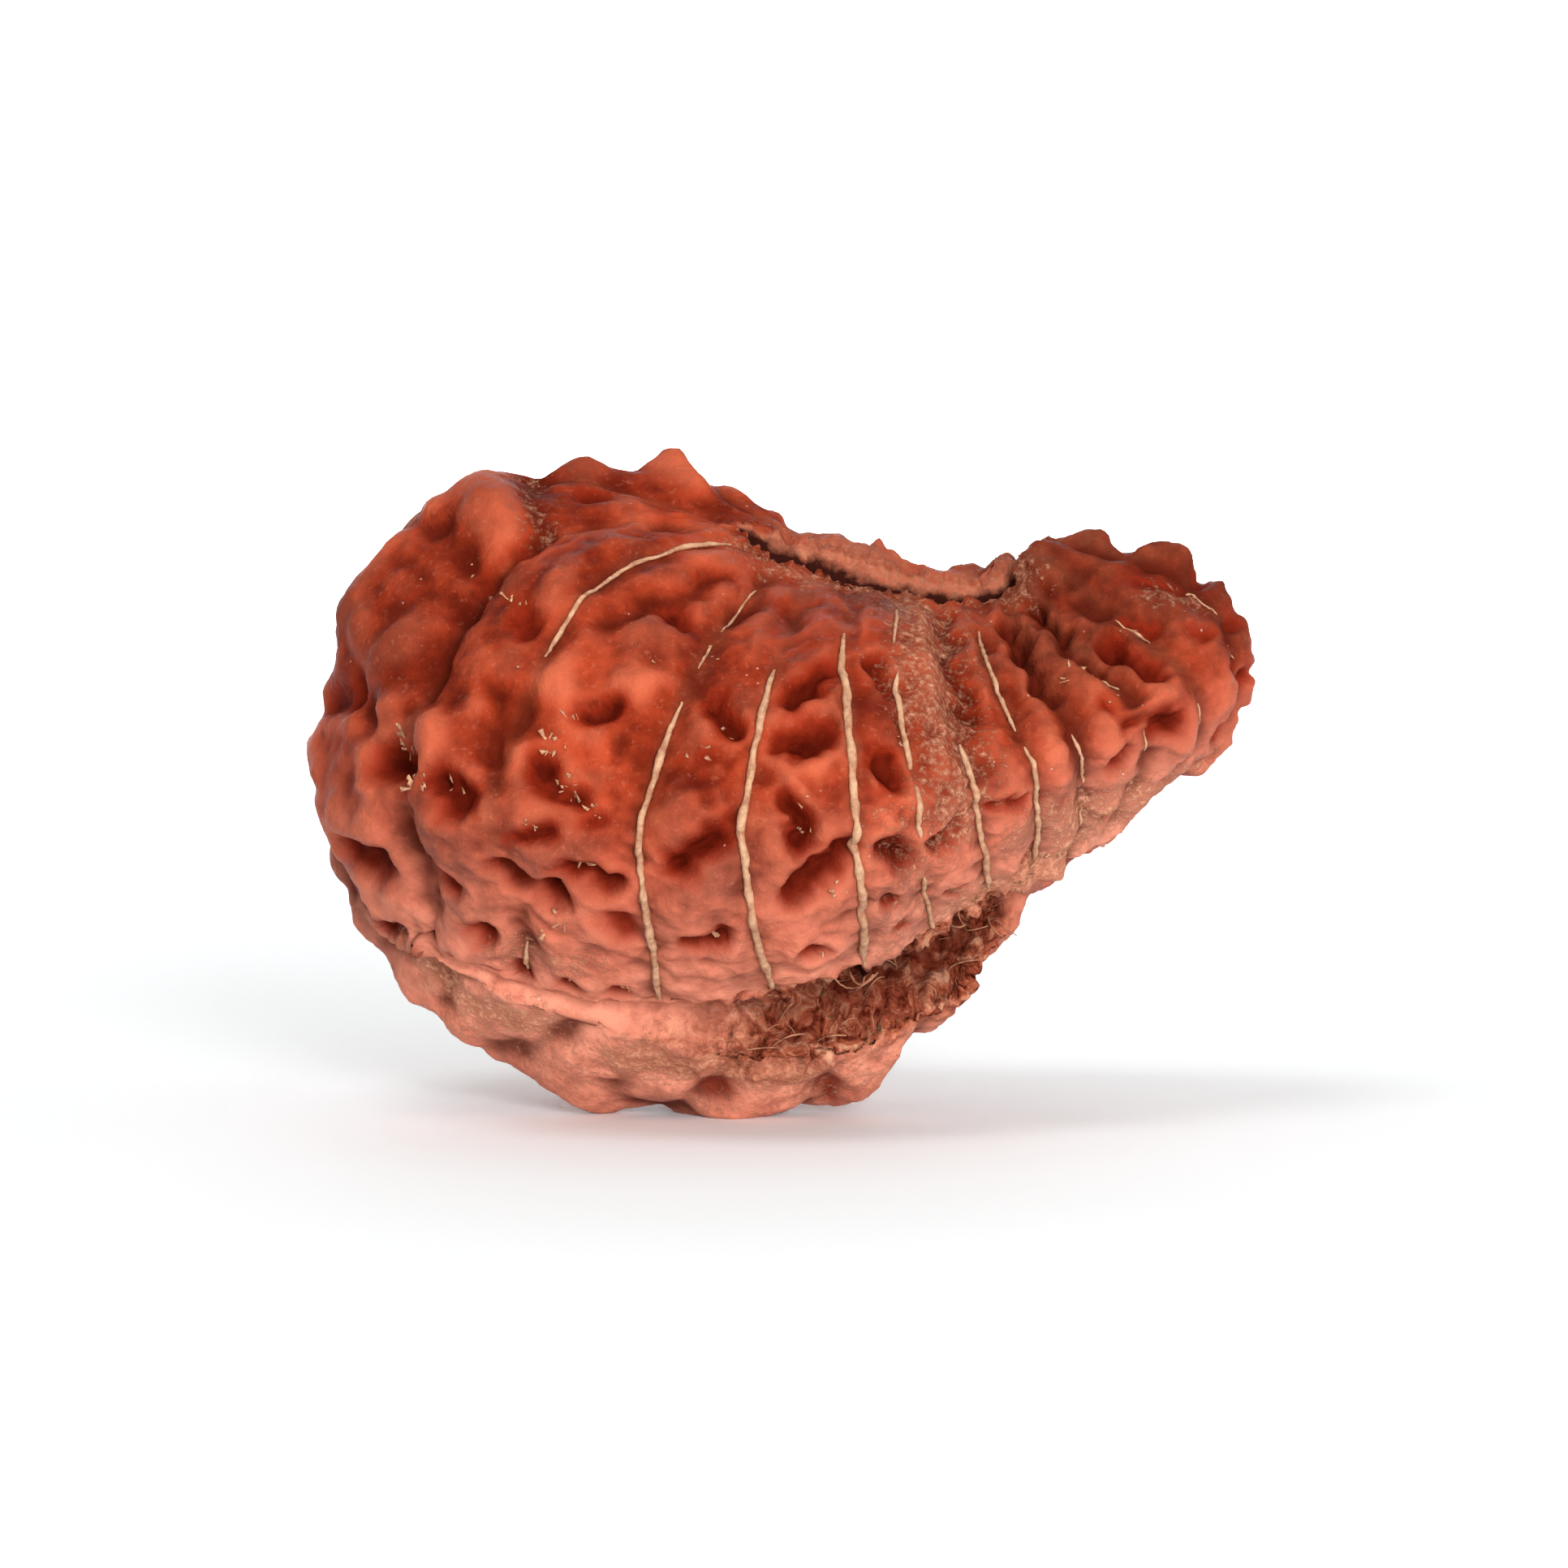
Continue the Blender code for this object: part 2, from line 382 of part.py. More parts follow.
def relief(points, mukhi, height):
    """How far the surface stands out from the smooth stone, in millimetres, at each grid point."""
    on_body = np.clip(1.0 - 2.0 * np.maximum(-height, height - 1.0), 0.0, 1.0)[:, None]
    body_height = np.clip(height, 0.0, 1.0)[:, None]
    line = np.round(mukhi)
    drift = np.array([LINE_DRIFT.get(int(number), 0.0) for number in line])
    off_line = np.abs(mukhi - line - drift * np.sin(np.pi * body_height))
    width = mukhi_width(mukhi, body_height)
    swell = np.sin(np.pi * np.clip(off_line, 0.0, 0.5)) ** MUKHI_BLUNTNESS - 0.5
    valley = np.exp(-(off_line * width / LINE_WIDTH) ** 2)
    ribs = np.interp(mukhi, *np.array(RIBS).T) * fade_in(body_height, *RIB_HEIGHTS)
    ribs = ribs * np.clip(width / FULL_RIB_WIDTH, LEAST_RIB, 1.0)
    result = ribs * (MUKHI_SWELL * swell - LINE_DEPTH * valley)

    bend = relief_bend(points)
    bent = points + bend
    finer = 1.0 + np.interp(mukhi, *np.array(FINER).T)[None, :, None]
    result = result + BROAD_LUMPS[0] * lumpiness(points, BROAD_LUMPS[1], 2)
    result = result + LUMPS[0] * lumpiness(bent * finer, LUMPS[1], 3) / finer[..., 0]

    folds = np.broadcast_arrays(mukhi * FOLDS_PER_MUKHI, body_height / FOLD_LENGTH, FOLD_SLICE)
    folds = np.stack(folds, axis=-1) + FOLD_BEND * bend
    below_folds = fade_in(body_height - np.interp(mukhi, *np.array(FOLD_ENDS).T)[None, :], 0.0, FOLD_FADE)
    fold_height = FOLD_HEIGHT * (1.0 - below_folds) * fade_in(body_height, 0.0, FOLD_START)
    result = result + fold_height * lumpiness(folds, 1.0, 2)

    unevenness = EVEN_DEPTH + UNEVEN_DEPTH * lumpiness(points, UNEVEN_SIZE, 1)
    cells = along_noise(bent * finer, DIMPLE_SPACING, lambda point: noise.voronoi(point)[0][0])
    among_folds = DIMPLES_AMONG_FOLDS + (1.0 - DIMPLES_AMONG_FOLDS) * below_folds
    dimple_depth = DIMPLE_DEPTH / finer[..., 0] * among_folds * unevenness
    result = result - dimple_depth * np.exp(-(cells / DIMPLE_RADIUS) ** 2)

    back_pits, back_knobs = back_relief()
    for amount, radius, route in SWELLS + KNOBS + tuple(back_knobs):
        place = bent if radius < SMALL_KNOB else points
        result = result + amount * np.exp(-(distance_to_route(place, route) / radius) ** 2)
    for amount, radius, route in PITS + tuple(back_pits):
        away = distance_to_route(bent, route) / (PIT_MOUTH * radius)
        result = result - amount * np.exp(-np.abs(away) ** PIT_STEEPNESS)
        result = result + RIM_HEIGHT * amount * unevenness * np.exp(-((away - RIM_PLACE) / RIM_WIDTH) ** 2)
    for amount, radius, route in GROOVES:
        result = result - GROOVE_SHARE * amount * np.exp(-(distance_to_route(bent, route) / radius) ** 2)
    for amount, radius, route in CREASES:
        result = result - amount * np.exp(-distance_to_route(bent, route) / radius)

    torn = HOLLOW_LUMPS[0] * lumpiness(points, HOLLOW_LUMPS[1], 3) * (height > 1.0)[:, None]
    grainy = SLIT_LUMPS[0] * lumpiness(points, SLIT_LUMPS[1], 3) * (height < 0.0)[:, None]
    floor_fade = np.clip(2.0 - 2.0 * np.abs(height - 0.5), 0.0, 1.0)[:, None]
    return result * on_body + (torn + grainy) * floor_fade


def tilted(points):
    """From (right, up, back) as seen a little from above to the stone's own X, Y and Z."""
    right, up, back = np.moveaxis(points, -1, 0)
    return np.stack((right, back * math.cos(TILT) + up * math.sin(TILT),
                     up * math.cos(TILT) - back * math.sin(TILT)), axis=-1)


def nut_material():
    material = bpy.data.materials.new("nut_shell")
    material.use_nodes = True
    shader = material.node_tree.nodes["Principled BSDF"]
    shader.inputs["Base Color"].default_value = (0.36, 0.075, 0.04, 1.0)
    shader.inputs["Roughness"].default_value = 0.42
    shader.inputs["Metallic"].default_value = 0.0
    material.diffuse_color = (0.36, 0.075, 0.04, 1.0)
    return material


def rudraksha_stone(collection):
    columns = MUKHIS * COLUMNS_PER_MUKHI
    mukhi = np.linspace(0.0, MUKHIS, columns + 1)
    grid, height = stone_grid(mukhi, ROWS)
    points = grid + grid_normals(grid) * relief(grid, mukhi, height)[..., None]
    points[:, -1] = points[:, 0]
    points[0] = grid[0]
    points[-1] = grid[-1]
    points = tilted(points) * (STONE_LENGTH / np.ptp(points[..., 0]))
    points[..., 2] = np.maximum(points[..., 2], points[..., 2].min() + FLAT_SPOT_CUT)

    # A flat sheet is folded around into the stone, and its meeting edges are joined
    sheet = bmesh.new()
    rows = len(points) - 1
    bmesh.ops.create_grid(sheet, x_segments=columns, y_segments=rows, size=1.0)
    for vertex in sheet.verts:
        column = round((vertex.co.x + 1.0) / 2.0 * columns)
        row = round((vertex.co.y + 1.0) / 2.0 * rows)
        vertex.co = points[row, column] * MM
    bmesh.ops.remove_doubles(sheet, verts=sheet.verts, dist=1e-6)
    bmesh.ops.triangulate(sheet, faces=sheet.faces)
    bmesh.ops.recalc_face_normals(sheet, faces=sheet.faces)
    if sheet.calc_volume(signed=True) < 0.0:
        bmesh.ops.reverse_faces(sheet, faces=sheet.faces)
    mesh = bpy.data.meshes.new("rudraksha_stone")
    sheet.to_mesh(mesh)
    sheet.free()
    stone = bpy.data.objects.new("rudraksha_stone", mesh)
    collection.objects.link(stone)
    mesh.materials.append(nut_material())

    thin_out = stone.modifiers.new("Thin out", "DECIMATE")
    thin_out.ratio = TRIANGLES / len(mesh.polygons)
    thin_out.use_collapse_triangulate = True
    thinned = bpy.data.meshes.new_from_object(stone.evaluated_get(bpy.context.evaluated_depsgraph_get()))
    stone.modifiers.remove(thin_out)
    stone.data = thinned
    bpy.data.meshes.remove(mesh)
    thinned.name = "rudraksha_stone"
    rest_on_flat_spot(thinned, points[..., 2].min() * MM)
    thinned.shade_smooth()
    thinned.set_sharp_from_angle(angle=math.radians(50.0))
    return stone


def rest_on_flat_spot(mesh, spot_level):
    """Put the worn flat spot at Z = 0, with the stone centred on X and Y."""
    places = np.array([vertex.co for vertex in mesh.vertices])
    middle = (places.min(axis=0) + places.max(axis=0)) / 2.0
    for vertex, place in zip(mesh.vertices, places):
        level = place[2] - spot_level
        if level < FLAT_SPOT_EVENNESS * MM:
            level = 0.0
        vertex.co = (place[0] - middle[0], place[1] - middle[1], level)


def main():
    for thing in list(bpy.data.objects):
        bpy.data.objects.remove(thing, do_unlink=True)
    collection = bpy.data.collections.new("twenty-two mukhi rudraksha")
    bpy.context.scene.collection.children.link(collection)
    rudraksha_stone(collection)


main()
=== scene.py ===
import math
import random

import bpy
import numpy as np
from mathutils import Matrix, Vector, noise


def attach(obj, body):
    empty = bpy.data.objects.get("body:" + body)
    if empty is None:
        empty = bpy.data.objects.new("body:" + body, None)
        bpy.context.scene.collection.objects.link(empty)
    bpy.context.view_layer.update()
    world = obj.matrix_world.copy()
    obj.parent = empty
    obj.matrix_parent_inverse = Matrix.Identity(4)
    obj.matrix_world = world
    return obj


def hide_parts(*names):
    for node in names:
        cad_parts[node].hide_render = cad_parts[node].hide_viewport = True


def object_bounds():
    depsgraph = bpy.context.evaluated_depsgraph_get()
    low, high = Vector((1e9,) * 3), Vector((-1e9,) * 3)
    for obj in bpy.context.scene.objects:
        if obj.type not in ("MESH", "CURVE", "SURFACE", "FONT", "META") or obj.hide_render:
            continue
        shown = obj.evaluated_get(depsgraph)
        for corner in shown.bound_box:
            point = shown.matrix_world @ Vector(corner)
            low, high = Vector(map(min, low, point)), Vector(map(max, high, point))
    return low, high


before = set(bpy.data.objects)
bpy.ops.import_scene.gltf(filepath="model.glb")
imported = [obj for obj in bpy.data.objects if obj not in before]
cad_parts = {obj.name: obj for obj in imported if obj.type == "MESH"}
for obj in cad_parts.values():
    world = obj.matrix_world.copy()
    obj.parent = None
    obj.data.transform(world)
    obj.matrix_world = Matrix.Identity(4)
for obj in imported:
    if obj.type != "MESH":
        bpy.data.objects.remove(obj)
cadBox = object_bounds()
print("frame loaded")

mm = 0.001


def connect(tree, value, slot):
    if hasattr(value, "links"):  # the output of another node
        tree.links.new(value, slot)
    else:
        slot.default_value = value


def addNode(tree, kind, inputs=None, **settings):
    node = tree.nodes.new(kind)
    for name, value in settings.items():
        setattr(node, name, value)
    for name, value in (inputs or {}).items():
        connect(tree, value, node.inputs[name])
    return node


def mathNode(tree, operation, a, b):
    return addNode(tree, "ShaderNodeMath", {0: a, 1: b}, operation=operation).outputs[0]


def vectorNode(tree, operation, a, b):
    second = "Scale" if operation == "SCALE" else 1
    return addNode(tree, "ShaderNodeVectorMath", {0: a, second: b}, operation=operation).outputs[0]


def noiseNode(tree, place, scale, detail, roughness, distortion=0.0):
    return addNode(tree, "ShaderNodeTexNoise", {
        "Vector": place, "Scale": scale, "Detail": detail, "Roughness": roughness, "Distortion": distortion})


def painted(tree, name, kind="FLOAT"):
    node = addNode(tree, "GeometryNodeInputNamedAttribute", {"Name": name}, data_type=kind)
    return node.outputs["Attribute"]


# A new node tree with named inputs, and the sockets that give their values
def newTree(name, sizes, counts=()):
    tree = bpy.data.node_groups.new(name, "GeometryNodeTree")
    sockets = [("Geometry", "INPUT", "Geometry"), ("Geometry", "OUTPUT", "Geometry")]
    sockets += [(label, "INPUT", "Float") for label in sizes]
    sockets += [(label, "INPUT", "Int") for label in counts]
    for label, way, kind in sockets:
        tree.interface.new_socket(label, in_out=way, socket_type="NodeSocket" + kind)
    return tree, tree.nodes.new("NodeGroupInput").outputs


def finishTree(tree, geometry, material):
    realized = addNode(tree, "GeometryNodeRealizeInstances", {"Geometry": geometry})
    made = addNode(tree, "GeometryNodeSetMaterial", {
        "Geometry": realized.outputs["Geometry"], "Material": material})
    addNode(tree, "NodeGroupOutput", {"Geometry": made.outputs["Geometry"]})
    return tree


def shadedSmooth(tree, geometry):
    return addNode(tree, "GeometryNodeSetShadeSmooth", {"Geometry": geometry}).outputs["Geometry"]


def runTree(piece, tree, values):
    modifier = piece.modifiers.new(tree.name, "NODES")
    modifier.node_group = tree
    for item in tree.interface.items_tree:
        if item.in_out == "INPUT" and item.name in values:
            modifier[item.identifier] = values[item.name]
    piece.update_tag()
    made = piece.evaluated_get(bpy.context.evaluated_depsgraph_get())
    mesh = bpy.data.meshes.new_from_object(made)
    mesh.name = piece.name
    piece.modifiers.remove(modifier)
    piece.data = mesh


def meshPiece(name, places, edges=(), faces=()):
    mesh = bpy.data.meshes.new(name)
    mesh.from_pydata([tuple(place) for place in places], edges, faces)
    piece = bpy.data.objects.new(name, mesh)
    bpy.context.scene.collection.objects.link(piece)
    return piece


def paintOn(piece, name, values, kind="FLOAT"):
    attribute = piece.data.attributes.new(name, kind, "POINT")
    field = "value" if kind == "FLOAT" else "vector"
    attribute.data.foreach_set(field, np.asarray(values, np.float32).ravel())


def insideBox(piece):
    places = np.empty(len(piece.data.vertices) * 3, np.float32)
    piece.data.vertices.foreach_get("co", places)
    places = np.clip(places.reshape(-1, 3), np.array(cadBox[0]), np.array(cadBox[1]))
    piece.data.vertices.foreach_set("co", places.ravel())
    piece.data.update()


# Lengths are in millimetres here, and mukhis are counted along the stone:
# lines 0 to 11 run in front and lines 11 to 22 behind
stone = {
    "length": 39.2,
    "flatSpotCut": 0.6,
    "tilt": 5.0,
    "mukhis": 22,
    # Columns in one mukhi, as (mukhi, columns); the same behind as in front
    "columnsInMukhi": ((0, 36), (2, 30), (4, 28), (6, 20), (8, 14), (11, 14)),
    "bodyRows": 165,
    "wallRows": 12,
    "lipReach": (0.2, 0.5, 0.7),  # how a slit's lip rounds over: least, by depth, most
    "lineDepth": 0.3,
    "lineWidth": 0.75,
    "mukhiSwell": 0.42,
    "mukhiRoundness": 0.8,
    # How far each mukhi's rib stands out, as (mukhi, share)
    "ribs": ((0, 0.8), (1.5, 0.7), (2.2, 0.3), (5.0, 0.3), (6.0, 0.6), (7.0, 1.0), (10.0, 0.8),
             (13.0, 0.9), (20.0, 0.9), (22.0, 0.8)),
    "ribsBegin": (-0.05, 0.16),
    "fullRibWidth": 2.0,  # narrower mukhis stand out less, down to the least share
    "leastRib": 0.25,
    # How much finer the relief is at the narrow end, as (mukhi, share)
    "finer": ((0, 0.0), (4.5, 0.0), (8.0, 0.7), (14.0, 0.7), (18.0, 0.0), (22.0, 0.0)),
    "warp": 0.45,  # how far the relief is bent out of its regular lines
    "warpSize": 1.5,
    "fineWarp": 0.13,
    "fineWarpSize": 0.55,
    "warpStarts": ((0.0, 0.0, 0.0), (31.7, 5.3, 11.9), (7.1, 43.9, 23.3)),
    "broadHeight": 0.3,
    "broadSize": 4.2,
    "middleHeight": 0.24,
    "middleSize": 1.7,
    # Folds below the slit: height to which they run down, and how strong they are
    "foldEnds": ((0, 0.22), (5, 0.22), (7, 0.3), (9, 0.42), (12, 0.35), (16, 0.2), (22, 0.22)),
    "foldShare": ((0, 0.7), (2, 0.4), (5, 0.5), (6.5, 1.1), (10, 1.4), (12, 1.1), (22, 0.7)),
    "foldHeight": 0.34,
    "foldsInMukhi": 1.9,
    "foldsInHeight": 2.6,
    "foldBend": 0.25,
    "foldFades": (0.1, 0.2),  # in at the slit, and out at their ends
    "calmInFolds": 0.8,  # how much dimples and wrinkles fade there
    "dimpleSize": 2.1,
    "dimpleDepth": 0.4,
    "dimpleRadius": 0.34,
    "wrinkleDepth": 0.75,
    "wrinkleWidth": 0.11,
    "wrinkleShare": (0.45, 0.6),  # where they begin, and their most
    "uneven": (0.7, 0.6),  # usual share of the dimples, and how much it varies
    "unevenSize": 3.0,
    "pitMouth": 0.82,  # share of a pit's radius
    "pitSteepness": 2.6,
    "pitFloor": (0.5, 0.9),  # how uneven, and how coarse
    "rim": 0.16,  # share of a pit's depth, raised around it
    "rimAway": 1.8,
    "rimWidth": 0.6,
    "haloWidth": 1.7,
    "darkFrom": (0.8, 0.6),  # depths at which the painted shade in a pit and in its halo is at its darkest
    "calmInPits": 0.8,  # how much the middle relief fades there
    "grooveShare": 0.95,
    "hollowGrain": (0.25, 0.8),  # height and size of the grain on the walls
    "slitGrain": (0.34, 0.6),
    "slitGrainEnd": 0.03,
    "softened": (2, 8, 70),  # rounds for the relief, for the ground near by, and for that around
    "sunkShadeDepths": (0.42, 0.2),  # depths at which the painted shade of sunk places shows fully, against the ground around and near by
    # Heights at which the painted highlight on crests shows fully, against the ground around and near by
    "crestHighlightHeights": (0.4, 0.25),
    "grainSize": 0.7,
    "grainHeight": 0.34,
    "tornSize": 1.5,
    "tornHeight": 3.0,
    "crumbSize": 0.7,
    "crumbHeight": 0.7,
    "grainInPits": 0.15,  # share that is left there
    "restingHeight": 0.05,
}

# Pits and knobs behind, which the photo doesn't show
behindRelief = {
    "seed": 22,
    "tries": 900,
    "mukhis": (11.2, 21.8),
    "heights": (0.08, 0.94),
    "fatEndFrom": 17,  # the relief is coarser at the fat end
    "fatEndGaps": (1.5, 2.7),
    "gaps": (1.2, 1.9),
    "lineGap": 0.16,
    "frontSees": (18, 0.84),  # mukhis after this are seen in front below this height
    "frontSeesLow": (15.5, 21.0, 0.7),  # mukhis between these have shallow pits below this height
    "handPlaced": (20.8, 0.14, 0.74),  # mukhis after this have their own pits between these heights
    "lean": (0.12, 0.03),
    "pitShare": 0.6,
    "pitDepths": (0.5, 1.1),
    "pitRadius": 0.3,
    "lowPitShare": 0.4,
    "knobHeights": (0.3, 0.6),
    "knobRadius": 0.5,
}

# Mukhi lines at which the rings have points
stations = (0, 1, 2, 4, 6, 8, 10, 11, 13, 15, 17, 19, 20, 21)
ringHeights = np.array((0.0, 0.22, 0.5, 0.78, 1.0))
rings = (
    ((-2.0, 10.6, 1.0), (-1.2, 9.9, 0.3), (-0.1, 9.1, -0.2), (3.2, 8.2, -0.4), (6.3, 7.5, -0.2),
     (9.1, 7.9, 0.6), (10.1, 9.5, 1.4), (10.9, 9.9, 2.2), (9.6, 8.8, 2.6), (7.6, 8.2, 1.7), (4.7, 8.8, 1.2),
     (1.5, 9.8, 1.3), (0.2, 10.2, 1.4), (-1.2, 10.5, 1.4)),
    ((-10.5, 9.8, -2.2), (-7.5, 8.2, -5.0), (-3.3, 5.3, -7.6), (2.4, 5.5, -7.2), (6.5, 5.0, -5.0),
     (10.1, 5.5, -3.4), (13.6, 7.0, -1.6), (15.8, 8.7, 0.4), (14.8, 8.1, 4.6), (9.8, 7.5, 5.8),
     (4.6, 7.7, 6.0), (-1.6, 9.8, 7.2), (-6.4, 11.8, 6.6), (-12.6, 12.0, 2.8)),
    ((-15.5, 1.4, -6.0), (-11.6, -0.3, -9.4), (-5.9, -1.5, -11.2), (2.8, -0.6, -10.8), (7.8, 0.7, -8.2),
     (12.0, 2.0, -6.0), (16.8, 4.0, -3.2), (18.9, 4.9, -0.6), (17.8, 3.5, 5.0), (10.8, 1.2, 9.0),
     (2.8, -0.8, 11.4), (-7.9, -0.8, 11.8), (-14.6, 0.4, 9.0), (-19.1, 1.7, 2.0)),
    ((-14.4, -4.1, -5.0), (-10.7, -5.1, -7.8), (-5.5, -6.0, -9.2), (3.1, -4.8, -9.0), (8.3, -2.5, -6.8),
     (12.5, -0.3, -4.4), (16.6, 1.0, -1.4), (17.6, 1.4, 1.0), (15.6, 0.1, 4.6), (10.1, -4.3, 5.2),
     (4.6, -10.8, 3.6), (-5.7, -13.3, 3.4), (-13.0, -10.5, 3.2), (-17.3, -6.1, 1.4)),
    ((-14.5, -6.6, -2.6), (-10.6, -8.1, -4.0), (-5.0, -8.9, -4.6), (3.3, -7.4, -4.6), (8.5, -4.7, -3.4),
     (11.6, -3.1, -1.4), (13.3, -1.8, 1.0), (13.5, -1.4, 2.0), (12.6, -2.3, 2.8), (10.3, -4.8, 1.6),
     (6.0, -9.5, -0.6), (-2.0, -11.2, -2.6), (-8.2, -9.8, -3.2), (-13.0, -7.9, -2.6)))

# Depth along the mukhis, share of the floor towards the front lip, and the way in
upperSlit = {
    "depths": ((0.0, 0.3), (0.8, 1.3), (2.5, 2.6), (8.5, 2.8), (10.2, 1.6), (11.0, 0.4)),
    "floorShare": 0.66,
    "inward": (0.0, -0.97, 0.0),
    "rearBulge": 0.3,
}
lowerHollow = {
    "depths": ((0.0, 0.4), (1.6, 0.5), (2.4, 1.6), (3.6, 3.0), (4.7, 4.4), (5.8, 3.0), (7.0, 0.7),
               (11.0, 0.4)),
    "floorShare": 0.5,
    "inward": (0.0, 0.5, 0.87),
    "rearBulge": 0.0,
}
lineDrift = {2: 0.04, 3: -0.11, 5: -0.15, 6: -0.1, 7: -0.05, 8: -0.08}

# Relief as (height, radius, route); a route's points are (mukhi, height) on the cage of rings
swells = (
    (1.3, 2.4, ((21.0, 0.31), (21.05, 0.37))), (0.6, 2.2, ((20.98, 0.24),)), (0.7, 1.8, ((21.0, 0.5),)),
    (-0.5, 2.0, ((20.3, 0.17),)), (0.4, 1.3, ((14.3, 0.12),)), (0.6, 1.5, ((10.1, 0.04), (11.0, 0.04))),
    (0.3, 1.6, ((11.3, 0.76), (12.2, 0.76))), (-0.7, 1.6, ((16.2, 0.84), (17.0, 0.85))),
    (-0.1, 1.5, ((19.3, 0.1),)), (0.35, 1.3, ((5.5, 0.08), (5.45, 0.33))), (0.45, 1.3, ((19.75, 0.1),)),
    (0.5, 1.3, ((18.4, 0.03), (13.2, 0.03))), (0.5, 1.6, ((1.6, 0.26),)), (0.4, 2.0, ((2.5, 0.45),)),
    (0.35, 2.2, ((3.5, 0.8),)), (0.4, 2.2, ((0.5, 0.62),)))
knobs = (
    (1.6, 1.2, ((20.17, 0.14),)), (1.1, 1.0, ((20.7, 0.15),)), (0.5, 1.2, ((21.0, 0.2),)),
    (0.6, 1.35, ((21.2, 0.36), (21.35, 0.385))), (1.1, 1.15, ((21.66, 0.385),)),
    (0.7, 1.6, ((21.5, 0.215),)), (0.5, 1.0, ((21.35, 0.2), (21.7, 0.22))), (0.5, 1.0, ((20.8, 0.29),)),
    (0.6, 0.9, ((20.9, 0.38),)), (0.8, 1.1, ((20.9, 0.44),)), (0.4, 1.0, ((21.35, 0.31), (21.6, 0.32))),
    (0.6, 1.2, ((20.95, 0.5),)), (0.5, 0.9, ((0.6, 0.24), (0.85, 0.27))), (0.9, 1.25, ((1.12, 0.345),)),
    (0.6, 0.9, ((1.05, 0.44),)), (0.8, 0.95, ((0.3, 0.455),)), (0.6, 0.8, ((21.8, 0.45), (22.0, 0.455))),
    (0.6, 0.9, ((1.72, 0.315),)), (0.5, 0.9, ((2.25, 0.49),)), (0.5, 0.9, ((3.35, 0.43), (3.7, 0.42))),
    (0.6, 1.0, ((21.45, 0.61), (21.7, 0.64))), (0.5, 0.6, ((21.8, 0.63), (21.85, 0.72))),
    (0.4, 1.3, ((2.3, 0.7),)), (0.4, 1.0, ((1.3, 0.62),)), (0.5, 1.0, ((1.05, 0.53), (1.3, 0.53))),
    (0.4, 0.9, ((2.55, 0.66),)), (0.4, 0.9, ((3.2, 0.6),)), (0.4, 0.8, ((4.3, 0.57),)),
    (0.5, 0.8, ((4.75, 0.52),)), (0.4, 0.8, ((6.5, 0.55),)), (0.4, 0.8, ((7.3, 0.53),)),
    (0.5, 0.8, ((8.35, 0.57),)), (0.5, 0.8, ((9.3, 0.51),)), (0.4, 0.7, ((9.7, 0.68),)),
    (0.7, 0.9, ((11.75, 0.22),)), (0.5, 0.8, ((11.6, 0.32),)), (0.35, 0.9, ((11.2, 0.74),)),
    (0.4, 0.9, ((9.3, 0.99), (10.0, 0.97))), (1.0, 0.6, ((17.3, 0.07),)), (0.5, 0.6, ((15.85, 0.09),)),
    (0.4, 0.7, ((15.0, 0.08),)), (0.6, 0.8, ((14.5, 0.08),)), (0.5, 0.7, ((12.9, 0.13),)),
    (0.3, 1.0, ((20.5, 0.8),)), (0.3, 1.1, ((20.0, 0.82),)), (0.3, 1.2, ((19.4, 0.83),)),
    (0.25, 0.9, ((15.4, 0.83),)), (0.3, 1.0, ((20.95, 0.66),)), (0.3, 0.9, ((20.9, 0.74),)),
    (0.4, 0.7, ((7.6, 0.9), (8.3, 0.86))), (0.4, 0.8, ((6.6, 1.0), (7.4, 1.0))))
